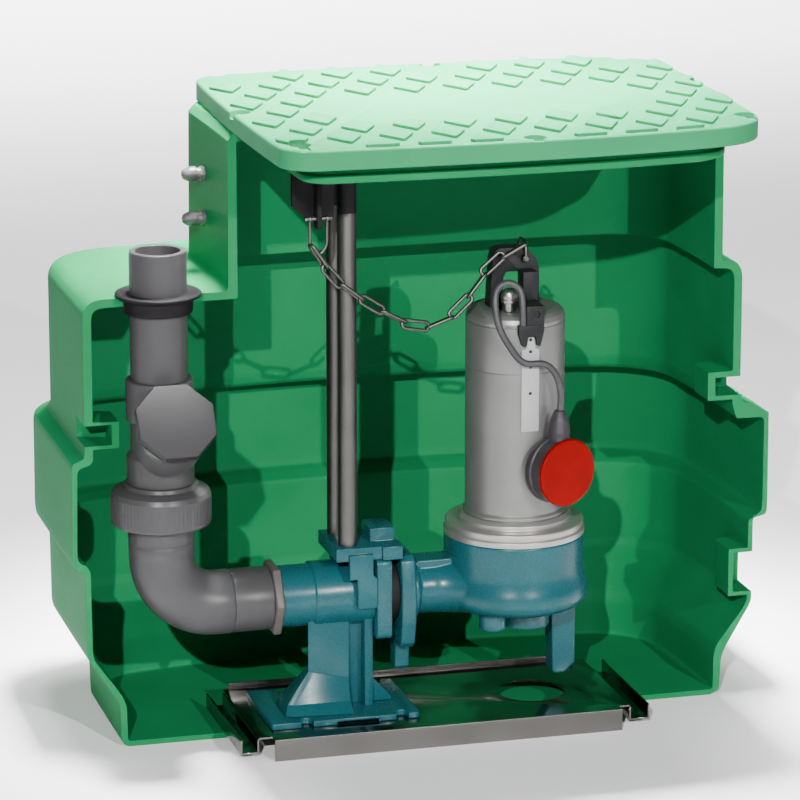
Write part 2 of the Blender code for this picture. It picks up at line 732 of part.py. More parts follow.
def build_rail_head():
    head = box("rail_head_bracket", -0.140, -0.0845, -0.036, 0.036, RAIL_TOP, RAIL_TOP + 6 * MM)
    plugs = [rod("plug", (RAIL_X, y, RAIL_END + GAP), (RAIL_X, y, RAIL_TOP + 2 * MM), RAIL_R, 32)
             for y in (-RAIL_Y, RAIL_Y)]
    gusset = prism("gusset", [(-0.1583, RAIL_TOP + 6 * MM), (-0.1583, 0.609), (-0.1395, 0.5925),
                              (-0.1117, 0.5925), (-0.1117, RAIL_TOP + 6 * MM)], "y", -0.034, -0.028)
    lug = box("lug", -0.1345, -0.1295, -0.052, -0.033, 0.586, 0.642)
    arm = box("arm", -0.138, -0.1125, 0.030, 0.1965, RAIL_TOP + 0.5 * MM, RAIL_TOP + 5.5 * MM)
    leaf = box("leaf", -0.1375, -0.113, 0.1905, 0.1965, 0.626, RAIL_TOP + 5 * MM)
    join(head, *plugs, gusset, lug, arm, leaf)
    pin_hole = rod("pin_hole", (-0.16, -0.045, 0.597), (-0.10, -0.045, 0.597), 2.6 * MM, 24)
    cut(head, pin_hole)
    paint(head, DARK, 0.6)
    shackle_points = smooth_path([(-0.1415, -0.045, 0.603), (-0.1415, -0.045, 0.585),
                                  (-0.1405, -0.045, 0.567), (-0.132, -0.045, 0.5575),
                                  (-0.1235, -0.045, 0.567), (-0.1225, -0.045, 0.585),
                                  (-0.1225, -0.045, 0.603)], 0.005)
    shackle = solidify(tube("chain_shackle", shackle_points, SHACKLE_WIRE_R))
    join(shackle, rod("pin", (-0.1475, -0.045, 0.597), (-0.1165, -0.045, 0.597), 2.3 * MM, 24))
    paint(shackle, STEEL, 0.3, 0.9)


CHAIN_POINTS = (
    (-0.1320, -0.0450, 0.5552), (-0.1318, -0.0450, 0.5500), (-0.1225, -0.0438, 0.5385),
    (-0.1073, -0.0419, 0.5240), (-0.0934, -0.0402, 0.5115), (-0.0783, -0.0383, 0.5008),
    (-0.0631, -0.0365, 0.4914),
    (-0.0385, -0.0334, 0.4760), (-0.0232, -0.0315, 0.4690), (-0.0079, -0.0296, 0.4663),
    (0.0063, -0.0279, 0.4675), (0.0193, -0.0262, 0.4730), (0.0323, -0.0246, 0.4825),
    (0.0430, -0.0233, 0.4940), (0.0536, -0.0220, 0.5066), (0.0643, -0.0207, 0.5200),
    (0.0745, -0.0194, 0.5315), (0.0844, -0.0182, 0.5385), (0.0975, -0.0168, 0.5415),
    (0.1099, -0.0158, 0.5422),
)


def build_chain():
    paint(tube("lifting_chain", smooth_path(CHAIN_POINTS, CHAIN_STEP), CHAIN_D / 2), STEEL, 0.35, 0.9)


def build_tray():
    t = 2 * MM
    outline = [(LIP_LEFT, -TRAY_Y), (LIP_RIGHT, -TRAY_Y), (LIP_RIGHT, -0.081), (TRAY_RIGHT, -0.081),
               (TRAY_RIGHT, TRAY_Y), (TRAY_LEFT, TRAY_Y), (TRAY_LEFT, -0.081), (LIP_LEFT, -0.081)]
    tray = prism("support_tray", outline, "z", TRAY_TOP - t, TRAY_TOP)
    front = box("front", LIP_LEFT, LIP_RIGHT, -TRAY_Y, -TRAY_Y + t, 0, TRAY_TOP)
    rear = box("rear", -0.205, LIP_RIGHT, TRAY_Y - t, TRAY_Y, TRAY_TOP - t, 0.0325)
    join(tray, front, rear)
    cut(tray, rod("hole", (0.125, -0.002, 0), (0.125, -0.002, 0.05), TRAY_HOLE_R, 64))
    paint(tray, STEEL, 0.25, 1.0)
    low = FLOOR_TOP + GAP
    high = TRAY_TOP - t - GAP
    for name, inner, outer in (("tray_rail_left", TRAY_LEFT, -0.232), ("tray_rail_right", TRAY_RIGHT, 0.241)):
        s = 1 if outer > inner else -1
        outline = [(inner, low), (outer, low), (outer, 0.024), (outer - s * t, 0.024),
                   (outer - s * t, low + t),
                   (inner + s * t, low + t), (inner + s * t, high), (inner, high)]
        paint(prism(name, outline, "y", -0.081, 0.088), STEEL, 0.3, 1.0)


# Outlet of the volute, from the flange to the casing: x, half width, half height
OUTLET = ((-20, 36, 36), (-15, 36, 36), (-11, 30, 30), (8, 30.5, 30), (22, 36, 30.5), (36, 46, 31),
          (52, 57, 31), (70, 66, 29), (92, 70, 26))


def ellipse_ring(x, half_width, half_height, count=48):
    turns = [2 * math.pi * k / count for k in range(count)]
    return [Vector((x * MM, half_width * MM * math.cos(a), 0.1585 + half_height * MM * math.sin(a)))
            for a in turns]


def build_pump():
    x = PUMP_X
    volute = lathe("pump_volute", [(0, 0.131), (50 * MM, 0.131), (64 * MM, 0.1325), (73 * MM, 0.1345),
                                   (80 * MM, 0.139), (83.5 * MM, 0.1445), (84.3 * MM, 0.150),
                                   (83.5 * MM, 0.158), (81 * MM, 0.167), (79.3 * MM, 0.175),
                                   (78.8 * MM, 0.183), (78.8 * MM, VOLUTE_TOP), (0, VOLUTE_TOP)],
                   (x, 0, 0), segments=48)
    outlet = ring_solid("outlet", [ellipse_ring(*row) for row in OUTLET], True, True)
    pad = box("pad", -0.012, 0.030, -0.016, 0.016, 0.180, 0.1935)
    stub = rod("stub", (x - 34 * MM, -32 * MM, 0.112), (x - 34 * MM, -32 * MM, 0.136), 15 * MM, 24)
    mouth = lathe("mouth", [(19 * MM, 0.105), (27 * MM, 0.105), (27 * MM, 0.134), (19 * MM, 0.134)],
                  (x + 14 * MM, 0, 0), segments=32)
    leg = prism("leg", [(0.151, 0.141), (0.1535, 0.040), (0.168, 0.040), (0.181, 0.052), (0.1815, 0.145)],
                "y", 0.006, 0.034)
    keep_leg = rod("keep", (x, 0, 0.03), (x, 0, 0.150), 76 * MM, 48)
    boolean(leg, keep_leg, "INTERSECT")
    join(volute, outlet, pad, stub, mouth, leg)
    paint(volute, BLUE, 0.4)

    top = VOLUTE_TOP
    ring = lathe("pump_flange_ring", [(0, top + GAP), (79.3 * MM, top + GAP), (79.3 * MM, top + 7 * MM),
                                      (77.8 * MM, top + 8.5 * MM), (77.8 * MM, top + 14.5 * MM),
                                      (76.3 * MM, top + 16 * MM), (64 * MM, top + 16 * MM),
                                      (64 * MM, top + 21 * MM), (60 * MM, top + 25 * MM),
                                      (0, top + 25 * MM)], (x, 0, 0), segments=48)
    paint(ring, (150, 146, 142), 0.4, 0.6)
    low = top + 25 * MM + GAP
    casing = lathe("motor_casing", [(0, low), (57.5 * MM, low), (57.5 * MM, low + 2.7 * MM),
                                    (MOTOR_R, low + 5.7 * MM), (MOTOR_R, 0.409), (MOTOR_R - 0.5 * MM, 0.4095),
                                    (MOTOR_R, 0.410), (MOTOR_R, CASING_TOP), (0, CASING_TOP)],
                   (x, 0, 0), segments=48)
    paint(casing, (165, 165, 164), 0.35, 0.5)
    head = lathe("motor_head", [(0, CASING_TOP + GAP), (MOTOR_R, CASING_TOP + GAP), (MOTOR_R, 0.4655),
                                (54 * MM, 0.4705), (50.5 * MM, 0.4742), (45 * MM, 0.4764),
                                (38 * MM, HEAD_TOP), (0, HEAD_TOP)], (x, 0, 0), segments=48)
    paint(head, (150, 150, 150), 0.35, 0.5)


def build_pump_top():
    seat = HEAD_TOP + GAP
    outline = [(0.072, seat), (0.086, seat), (0.0875, 0.510), (0.0905, 0.5165), (0.1055, 0.5165),
               (0.110, 0.511), (0.1115, seat), (0.129, seat), (0.1285, 0.520), (0.1255, 0.530),
               (0.1175, 0.5385), (0.108, 0.543), (0.083, 0.543), (0.0775, 0.540), (0.075, 0.530)]
    handle = prism("lifting_handle", outline, "y", -HANDLE_Y, HANDLE_Y)
    post = box("post", 0.1045, 0.1210, -0.030, -HANDLE_Y + 1 * MM, seat, 0.5193)
    join(handle, post)
    cut(handle, rod("eye", (EYE_X, -0.04, EYE_Z), (EYE_X, 0.04, EYE_Z), EYE_R, 24))
    paint(handle, (58, 58, 62), 0.5)

    y = HANDLE_Y + 4.5 * MM
    bow = smooth_path([(EYE_X, -y, EYE_Z - 4 * MM), (EYE_X, -y, EYE_Z + 6 * MM), (EYE_X, -y + 2 * MM, 0.5458),
                       (EYE_X, -y + 7 * MM, 0.5494), (EYE_X, 0, 0.5502), (EYE_X, y - 7 * MM, 0.5494),
                       (EYE_X, y - 2 * MM, 0.5458), (EYE_X, y, EYE_Z + 6 * MM), (EYE_X, y, EYE_Z - 4 * MM)],
                      0.005)
    shackle = solidify(tube("handle_shackle", bow, SHACKLE_WIRE_R))
    join(shackle, rod("pin", (EYE_X, -y - 3 * MM, EYE_Z), (EYE_X, y + 3 * MM, EYE_Z), 2.3 * MM, 24))
    paint(shackle, STEEL, 0.3, 0.9)

    nut = lathe("gland_nut", [(0, 0), (6.5 * MM, 0), (6.5 * MM, 10 * MM), (10 * MM, 10.5 * MM),
                              (10 * MM, 18 * MM), (8.8 * MM, 22 * MM), (5.5 * MM, 25 * MM), (0, 26 * MM)], (0.0884, -0.031, seat), (0, 0, 1), 24)
    paint(nut, (170, 168, 164), 0.3, 0.8)

    block = box("terminal_block", BLOCK_LEFT, BLOCK_RIGHT, CLAMP_FRONT, -0.0305, CLAMP_TOP + GAP, 0.488)
    cut(block, motor_clearance(0.44, seat))
    paint(block, (84, 84, 88), 0.5)
    outline = [(0.0905, CLAMP_TOP), (0.0905, 0.456), (0.0945, 0.443), (0.099, 0.443), (0.101, 0.454),
               (0.110, 0.454), (0.1115, 0.443), (0.115, 0.443), (BLOCK_RIGHT, 0.460),
               (BLOCK_RIGHT, CLAMP_TOP)]
    clamp = prism("cable_clamp", outline, "y", CLAMP_FRONT, -0.045)
    cut(clamp, motor_clearance(0.42, 0.48))
    paint(clamp, (74, 74, 78), 0.5)
    strip = prism("level_strip", [(0.095, 0.345), (0.115, 0.345), (0.115, 0.4385), (0.111, 0.4395),
                                  (0.109, 0.4525), (0.102, 0.4525), (0.100, 0.4395), (0.095, 0.4385)],
                  "y", STRIP_FRONT, -0.050)
    cut(strip, motor_clearance(0.33, 0.47))
    paint(strip, (196, 195, 196), 0.4, 0.4)


def motor_clearance(low, high):
    """Cutter that leaves a small gap round the motor casing."""
    return rod("motor_clearance", (PUMP_X, 0, low), (PUMP_X, 0, high), MOTOR_R + GAP, 64)


# Route of the float's cable, from the clamp over the gland and down to the float's neck
CABLE_POINTS = (
    (0.0948, -0.0600, 0.4671), (0.0949, -0.0600, 0.4745), (0.0951, -0.0592, 0.4825),
    (0.0952, -0.0575, 0.4905), (0.0950, -0.0555, 0.4985), (0.0930, -0.0532, 0.5060),
    (0.0875, -0.0510, 0.5115), (0.0800, -0.0500, 0.5135), (0.0725, -0.0506, 0.5115),
    (0.0670, -0.0526, 0.5060), (0.0647, -0.0554, 0.4985), (0.0640, -0.0582, 0.4898),
    (0.0650, -0.0612, 0.4765), (0.0680, -0.0638, 0.4650), (0.0726, -0.0655, 0.4550),
    (0.0786, -0.0660, 0.4450), (0.0850, -0.0660, 0.4358), (0.0913, -0.0660, 0.4288),
    (0.0980, -0.0660, 0.4252), (0.1050, -0.0660, 0.4244), (0.1115, -0.0660, 0.4244),
    (0.1180, -0.0660, 0.4232), (0.1240, -0.0660, 0.4198), (0.1292, -0.0660, 0.4140),
    (0.1332, -0.0660, 0.4068), (0.1361, -0.0658, 0.3982), (0.1378, -0.0653, 0.3888),
    (0.1383, -0.0645, 0.3798), (0.1374, -0.0636, 0.3694),
)


def build_float():
    tangent = Vector((-FLOAT_NORMAL.y, FLOAT_NORMAL.x, 0))
    face = Vector((PUMP_X, 0, FLOAT_Z)) + tangent * FLOAT_ASIDE
    face += FLOAT_NORMAL * (MOTOR_R + GAP + FLOAT_DEPTH)
    cap = lathe("float_cap", [(0, -4.7 * MM), (FLOAT_R, -4.7 * MM), (FLOAT_R, -1.5 * MM),
                              (FLOAT_R - 2 * MM, 0), (0, 0)], face, FLOAT_NORMAL, 48)
    paint(cap, (200, 12, 14), 0.35)
    drum = lathe("float_body", [(0, -FLOAT_DEPTH), (32 * MM, -FLOAT_DEPTH), (37 * MM, 3 * MM - FLOAT_DEPTH),
                                (FLOAT_R, 6 * MM - FLOAT_DEPTH), (FLOAT_R, -23 * MM), (36 * MM, -21 * MM),
                                (36 * MM, -5 * MM), (0, -5 * MM)], face, FLOAT_NORMAL, 48)
    centre = face - FLOAT_NORMAL * 0.018
    neck = lathe("neck", [(0, 0.020), (12.6 * MM, 0.020), (12.4 * MM, 0.044), (10 * MM, 0.058),
                          (5.6 * MM, 0.068), (0, 0.068)], centre, (0.02, 0.02, 1), 24)
    join(drum, neck)
    paint(drum, (74, 70, 76), 0.6)
    paint(tube("float_cable", smooth_path(CABLE_POINTS, CABLE_STEP), CABLE_D / 2, 2), (70, 68, 72), 0.6)


def main():
    clear_scene()
    build_tank()
    build_lid()
    build_glands()
    build_discharge()
    build_foot()
    build_rail_head()
    build_chain()
    build_tray()
    build_pump()
    build_pump_top()
    build_float()
    for obj in bpy.data.objects:
        obj.data.transform(Matrix.Translation(ORIGIN_SHIFT))


main()
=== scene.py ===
"""Cutaway sewage lift station: the looks of every piece, built round the packed CAD frame.

Every piece is laid out in the station's own measures, which start at the middle of the cut face
on the floor: +X along the cut towards the pump, +Y into the tank, +Z up, in metres.
"""
import math

import bmesh
import bpy
from mathutils import Matrix, Vector


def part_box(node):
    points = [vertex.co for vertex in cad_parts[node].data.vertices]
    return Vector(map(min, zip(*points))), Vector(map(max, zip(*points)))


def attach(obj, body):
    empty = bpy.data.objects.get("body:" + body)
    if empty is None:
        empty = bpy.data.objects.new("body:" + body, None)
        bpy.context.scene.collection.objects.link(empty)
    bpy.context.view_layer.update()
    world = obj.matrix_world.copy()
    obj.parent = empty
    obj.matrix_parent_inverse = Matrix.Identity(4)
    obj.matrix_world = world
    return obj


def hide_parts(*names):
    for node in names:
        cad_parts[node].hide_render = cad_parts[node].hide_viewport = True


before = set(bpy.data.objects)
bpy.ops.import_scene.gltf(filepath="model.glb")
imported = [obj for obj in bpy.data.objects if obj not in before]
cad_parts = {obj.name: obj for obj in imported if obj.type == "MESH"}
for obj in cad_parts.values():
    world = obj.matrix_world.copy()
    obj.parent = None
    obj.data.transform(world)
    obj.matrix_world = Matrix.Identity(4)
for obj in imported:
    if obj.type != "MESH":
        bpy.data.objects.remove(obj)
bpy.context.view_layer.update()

bl_info = {
    "name": "Cutaway Lift Station",
    "version": (1, 0, 0),
    "blender": (4, 5, 0),
    "location": "3D View > Sidebar > Lift Station",
    "description": "Builds a sewage lift station whose tank is cut open on its middle plane",
    "category": "Add Mesh",
}

MM = 0.001

# Measures that the pieces share, the same as in the CAD
PIPE_X = -300 * MM
PIPE_R = 31.5 * MM
PIPE_BORE_R = 24.5 * MM
PIPE_TOP = 562.5 * MM
VALVE_TOP = 419.7 * MM
SHELF_TOP = 511.5 * MM
SEAL_HOLE_R = 38.5 * MM
DISCHARGE_Z = 160 * MM
NECK_TOP = 686.7 * MM
RAIL_X = -95 * MM
RAIL_Y = 24.5 * MM
RAIL_END = 598 * MM
RAIL_TOP = 640 * MM
TRAY_TOP = 25 * MM
VOLUTE_TOP = 216 * MM
PUMP_X = 104.5 * MM
MOTOR_R = 55.3 * MM
CASING_TOP = 461 * MM
HEAD_TOP = 477 * MM
EYE_X = 112 * MM
EYE_Z = 531 * MM
GAP = 0.3 * MM


def station_origin():
    """Middle of the cut face on the floor, in the frame of the packed model."""
    low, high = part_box("riser_pipe")
    return Vector(((low.x + high.x) / 2 - PIPE_X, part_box("tank_base")[0].y, 0))


ORIGIN = station_origin()


# Colours and nodes

def linear(code):
    """Linear colour with alpha from an sRGB hex code."""
    parts = [int(code[i:i + 2], 16) / 255 for i in (1, 3, 5)]
    return tuple(c / 12.92 if c <= 0.04045 else ((c + 0.055) / 1.055) ** 2.4 for c in parts) + (1.0,)


def add(tree, kind, settings=None, inputs=None):
    """A node with its settings; an input's value is a number, a colour or the socket that feeds it."""
    node = tree.nodes.new(kind)
    for key, value in (settings or {}).items():
        setattr(node, key, value)
    for key, value in (inputs or {}).items():
        if isinstance(value, bpy.types.NodeSocket):
            tree.links.new(value, node.inputs[key])
        else:
            node.inputs[key].default_value = value
    return node


# Materials: each is made of soft patches of a second tone and of a grain in relief and gloss

def surface(name, tones, patch, grain, relief, rough, rough_spread=0.06, metallic=0.0, shine=0.5,
            stretch=(1, 1, 1)):
    """Tones are hex codes or colour settings; patch, grain and relief are real sizes in millimetres."""
    first, second = (linear(tone) if isinstance(tone, str) else (*tone, 1.0) for tone in tones)
    material = bpy.data.materials.new(name)
    material.use_nodes = True
    tree = material.node_tree
    shader = tree.nodes["Principled BSDF"]
    spot = add(tree, "ShaderNodeTexCoord").outputs["Object"]
    patches = add(tree, "ShaderNodeTexNoise", {}, {"Vector": spot, "Scale": 1 / (patch * MM), "Detail": 3.0})
    soft = add(tree, "ShaderNodeMapRange", {}, {"Value": patches.outputs["Fac"], "From Min": 0.35,
                                               "From Max": 0.65})
    tone = add(tree, "ShaderNodeMix", {"data_type": "RGBA"}, {0: soft.outputs["Result"],
                                                             6: first, 7: second})
    along = add(tree, "ShaderNodeMapping", {}, {"Vector": spot, "Scale": stretch})
    grains = add(tree, "ShaderNodeTexNoise", {}, {"Vector": along.outputs["Vector"], "Scale": 1 / (grain * MM),
                                                 "Detail": 4.0, "Roughness": 0.6})
    gloss = add(tree, "ShaderNodeMapRange", {}, {"Value": grains.outputs["Fac"], "From Min": 0.3,
                                                "From Max": 0.7, "To Min": rough - rough_spread,
                                                "To Max": rough + rough_spread})
    bump = add(tree, "ShaderNodeBump", {}, {"Height": grains.outputs["Fac"], "Distance": relief * MM,
                                           "Strength": 1.0})
    tree.links.new(tone.outputs[2], shader.inputs["Base Color"])
    tree.links.new(gloss.outputs["Result"], shader.inputs["Roughness"])
    tree.links.new(bump.outputs["Normal"], shader.inputs["Normal"])
    shader.inputs["Metallic"].default_value = metallic
    if not metallic:
        shader.inputs["Specular IOR Level"].default_value = shine
    return material


# Mesh tools

def solid(name, verts, faces):
    """A closed mesh object with its doubles merged and its faces outward."""
    mesh = bpy.data.meshes.new(name)
    mesh.from_pydata([tuple(v) for v in verts], [], faces)
    bm = bmesh.new()
    bm.from_mesh(mesh)
    bmesh.ops.remove_doubles(bm, verts=bm.verts, dist=1e-6)
    bmesh.ops.recalc_face_normals(bm, faces=bm.faces)
    bm.to_mesh(mesh)
    bm.free()
    piece = bpy.data.objects.new(name, mesh)
    bpy.context.scene.collection.objects.link(piece)
    return piece


def bake(piece):
    """Turn what the modifiers show into a plain mesh, and take them off."""
    bpy.context.view_layer.update()
    graph = bpy.context.evaluated_depsgraph_get()
    mesh = bpy.data.meshes.new_from_object(piece.evaluated_get(graph))
    piece.modifiers.clear()
    old = piece.data
    piece.data = mesh
    bpy.data.meshes.remove(old)
    return piece


def soften(piece, width, steps=2, angle=32):
    """Round every edge that is sharper than the angle, in degrees."""
    bevel = piece.modifiers.new("rounding", "BEVEL")
    bevel.width = width
    bevel.segments = steps
    bevel.limit_method = "ANGLE"
    bevel.angle_limit = math.radians(angle)
    bevel.use_clamp_overlap = True
    return bake(piece)


def carve(piece, operation, *tools):
    """Join other solids to a piece or cut them out of it, and take them away."""
    for tool in tools:
        cut = piece.modifiers.new("carve", "BOOLEAN")
        cut.object = tool
        cut.operation = operation
        cut.solver = "EXACT"
        bake(piece)
        bpy.data.objects.remove(tool, do_unlink=True)
    return piece


def merge(piece, *others):
    """Put other closed meshes into one piece, each still closed."""
    bm = bmesh.new()
    for part in (piece,) + others:
        bm.from_mesh(part.data)
    bm.to_mesh(piece.data)
    bm.free()
    for part in others:
        bpy.data.objects.remove(part, do_unlink=True)
    return piece


def cast(piece, grain, rounds):
    """Melt every corner and joint a little, as a sand mould leaves them; grain is the size of the facets."""
    skin = piece.modifiers.new("skin", "REMESH")
    skin.mode = "VOXEL"
    skin.voxel_size = grain
    melt = piece.modifiers.new("melt", "SMOOTH")
    melt.factor = 0.5
    melt.iterations = rounds
    return bake(piece)


def rounded(points, closed=True, steps=5):
    """Outline in two axes; a corner's third value is the radius that rounds it."""
    out = []
    count = len(points)
    for i, point in enumerate(points):
        here = Vector(point[:2])
        radius = point[2] if len(point) > 2 else 0
        if radius <= 0 or (not closed and i in (0, count - 1)):
            out.append(here)
            continue
        before = Vector(points[i - 1][:2]) - here
        after = Vector(points[(i + 1) % count][:2]) - here
        half = before.angle(after) / 2
        reach = min(radius / math.tan(half), 0.49 * before.length, 0.49 * after.length)
        middle = (before.normalized() + after.normalized()).normalized()
        centre = here + middle * (reach / math.cos(half))
        start = here + before.normalized() * reach - centre
        end = here + after.normalized() * reach - centre
        turn = math.atan2(start.x * end.y - start.y * end.x, start.dot(end))
        for k in range(steps + 1):
            a = turn * k / steps
            out.append(centre + Vector((start.x * math.cos(a) - start.y * math.sin(a),
                                        start.x * math.sin(a) + start.y * math.cos(a))))
    return out


def place_on(centre, axis):
    """Move from the world's Z axis to the given centre and axis."""
    return Matrix.Translation(Vector(centre)) @ Vector(axis).to_track_quat("Z", "Y").to_matrix().to_4x4()


def turned(name, profile, centre=(0, 0, 0), axis=(0, 0, 1), sides=96, steps=4, turn=0.0):
    """Solid of revolution from (radius, height, rounding) corners; radius 0 lies on the axis."""
    place = place_on(centre, axis)
    verts = []
    rings = []
    for radius, height in rounded(profile, steps=steps):
        if radius < 1e-7:
            rings.append([len(verts)] * sides)
            verts.append(place @ Vector((0, 0, height)))
            continue
        rings.append(list(range(len(verts), len(verts) + sides)))
        for i in range(sides):
            a = 2 * math.pi * i / sides + math.radians(turn)
            verts.append(place @ Vector((radius * math.cos(a), radius * math.sin(a), height)))
    faces = []
    for low, high in zip(rings, rings[1:] + rings[:1]):
        for i in range(sides):
            j = (i + 1) % sides
            corners = list(dict.fromkeys((low[i], low[j], high[j], high[i])))
            if len(corners) > 2:
                faces.append(corners)
    return solid(name, verts, faces)


def bar(name, start, end, radius, sides=48, edge=0.0):
    """Round bar from one point to another."""
    span = Vector(end) - Vector(start)
    return turned(name, [(0, 0), (radius, 0, edge), (radius, span.length, edge), (0, span.length)],
                  start, span, sides, 3)


def plate(name, outline, axis, low, high, edge=0.0, steps=2):
    """Outline pushed along an axis; its corners are in the other two axes, in order."""
    flat = rounded(outline)
    order = {"x": lambda a, b, h: (h, a, b), "y": lambda a, b, h: (a, h, b), "z": lambda a, b, h: (a, b, h)}
    verts = [order[axis](a, b, h) for h in (low, high) for a, b in flat]
    count = len(flat)
    faces = [tuple(range(count)), tuple(range(2 * count - 1, count - 1, -1))]
    faces += [(i, (i + 1) % count, count + (i + 1) % count, count + i) for i in range(count)]
    piece = solid(name, verts, faces)
    return soften(piece, edge, steps) if edge else piece


def block(name, x0, x1, y0, y1, z0, z1, edge=0.0):
    return plate(name, [(x0, y0), (x1, y0), (x1, y1), (x0, y1)], "z", z0, z1, edge)


def sweep(name, points, radius, sides=16, closed=False, radii=None):
    """Round tube along points, turning as little as it can on the way."""
    points = [Vector(p) for p in points]
    count = len(points)
    rings = []
    verts = []
    side = None
    for i, point in enumerate(points):
        ahead = points[(i + 1) % count] if closed or i < count - 1 else point
        behind = points[i - 1] if closed or i else point
        along = (ahead - behind).normalized()
        if side is None:
            side = along.orthogonal().normalized()
        side = (side - along * side.dot(along)).normalized()
        up = along.cross(side)
        size = radii[i] if radii else radius
        rings.append(list(range(len(verts), len(verts) + sides)))
        for k in range(sides):
            a = 2 * math.pi * k / sides
            verts.append(point + size * (math.cos(a) * side + math.sin(a) * up))
    pairs = list(zip(rings, rings[1:]))
    if closed:
        pairs.append((rings[-1], rings[0]))
    faces = [(a[k], a[(k + 1) % sides], b[(k + 1) % sides], b[k]) for a, b in pairs for k in range(sides)]
    if not closed:
        faces += [tuple(rings[0]), tuple(reversed(rings[-1]))]
    return solid(name, verts, faces)


def smooth_path(knots, step):
    """Smooth curve through the knots, cut into even steps."""
    knots = [Vector(k) for k in knots]
    ends = [knots[0] * 2 - knots[1]] + knots + [knots[-1] * 2 - knots[-2]]
    dense = []
    for i in range(1, len(ends) - 2):
        p0, p1, p2, p3 = ends[i - 1:i + 3]
        for k in range(24):
            t = k / 24
            dense.append(0.5 * (2 * p1 + (p2 - p0) * t + (2 * p0 - 5 * p1 + 4 * p2 - p3) * t * t
                                + (3 * p1 - p0 - 3 * p2 + p3) * t ** 3))
    dense.append(knots[-1])
    total = sum((b - a).length for a, b in zip(dense, dense[1:]))
    count = max(3, round(total / step))
    out = [dense[0]]
    walked = 0.0
    for a, b in zip(dense, dense[1:]):
        part = (b - a).length
        while walked + part >= total / count * len(out) - 1e-12 and len(out) < count:
            out.append(a.lerp(b, (total / count * len(out) - walked) / part))
        walked += part
    out.append(dense[-1])
    return out


def loft(name, rings, endless=False):
    """Rings of points joined in order; the first and last are filled, or joined to each other where it is endless."""
    verts = [v for ring in rings for v in ring]
    count = len(rings[0])
    faces = [] if endless else [tuple(range(count)), tuple(range(len(verts) - 1, len(verts) - count - 1, -1))]
    for r in range(len(rings) if endless else len(rings) - 1):
        s = (r + 1) % len(rings)
        for i in range(count):
            j = (i + 1) % count
            faces.append((r * count + i, r * count + j, s * count + j, s * count + i))
    return solid(name, verts, faces)


def finish(piece, material, nodes=(), sharp=34):
    """Put a piece where the packed model has it, give it its finish and let it ride on the station."""
    mesh = piece.data
    mesh.transform(Matrix.Translation(ORIGIN))
    mesh.materials.clear()
    mesh.materials.append(material)
    mesh.shade_smooth()
    mesh.set_sharp_from_angle(angle=math.radians(sharp))
    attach(piece, "root")
    if nodes:
        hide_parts(*nodes)
    return piece


# Geometry Nodes

def new_tree(name, *sockets):
    """Node tree with a geometry in and out, and one named input for each (name, kind, default)."""
    tree = bpy.data.node_groups.new(name, "GeometryNodeTree")
    tree.interface.new_socket("Geometry", in_out="INPUT", socket_type="NodeSocketGeometry")
    for label, kind, default in sockets:
        socket = tree.interface.new_socket(label, in_out="INPUT", socket_type="NodeSocket" + kind)
        if default is not None:
            socket.default_value = default
    tree.interface.new_socket("Geometry", in_out="OUTPUT", socket_type="NodeSocketGeometry")
    return tree, add(tree, "NodeGroupInput").outputs


def end_tree(tree, geometry, material):
    """Make a tree's instances real and give them their material."""
    real = add(tree, "GeometryNodeRealizeInstances", {}, {"Geometry": geometry})
    painted = add(tree, "GeometryNodeSetMaterial", {}, {"Geometry": real.outputs["Geometry"],
                                                       "Material": material})
    add(tree, "NodeGroupOutput", {}, {"Geometry": painted.outputs["Geometry"]})
    return tree


def copies_tree():
    """A copy of one part on every point, turned as the point's own turn attribute says."""
    tree, given = new_tree("copies_on_points", ("Part", "Object", None), ("Size", "Float", 1.0),
                           ("Material", "Material", None))
    part = add(tree, "GeometryNodeObjectInfo", {}, {"Object": given["Part"]})
    turn = add(tree, "GeometryNodeInputNamedAttribute", {"data_type": "FLOAT_VECTOR"}, {"Name": "turn"})
    copies = add(tree, "GeometryNodeInstanceOnPoints", {}, {
        "Points": given["Geometry"], "Instance": part.outputs["Geometry"],
        "Rotation": turn.outputs["Attribute"], "Scale": given["Size"]})
    return end_tree(tree, copies.outputs["Instances"], given["Material"])


def chain_tree():
    """Links along a line at an even pitch, every second one turned a quarter about the line."""
    tree, given = new_tree("chain_of_links", ("Link", "Object", None), ("Pitch", "Float", 0.03),
                           ("First Turn", "Float", 0.0), ("Material", "Material", None))
    line = add(tree, "GeometryNodeMeshToCurve", {}, {"Mesh": given["Geometry"]})
    even = add(tree, "GeometryNodeResampleCurve", {"mode": "LENGTH"}, {
        "Curve": line.outputs["Curve"], "Length": given["Pitch"]})
    heading = add(tree, "FunctionNodeAlignRotationToVector", {"axis": "X"}, {
        "Vector": add(tree, "GeometryNodeInputTangent").outputs["Tangent"]})
    quarter = add(tree, "ShaderNodeMath", {"operation": "MULTIPLY_ADD"}, {
        0: add(tree, "GeometryNodeInputIndex").outputs["Index"], 1: math.pi / 2, 2: given["First Turn"]})
    roll = add(tree, "FunctionNodeAxisAngleToRotation", {}, {"Axis": (1, 0, 0), "Angle": quarter.outputs[0]})
    turn = add(tree, "FunctionNodeRotateRotation", {"rotation_space": "LOCAL"}, {
        "Rotation": heading.outputs["Rotation"], "Rotate By": roll.outputs["Rotation"]})
    link = add(tree, "GeometryNodeObjectInfo", {}, {"Object": given["Link"]})
    links = add(tree, "GeometryNodeInstanceOnPoints", {}, {
        "Points": even.outputs["Curve"], "Instance": link.outputs["Geometry"],
        "Rotation": turn.outputs["Rotation"]})
    return end_tree(tree, links.outputs["Instances"], given["Material"])


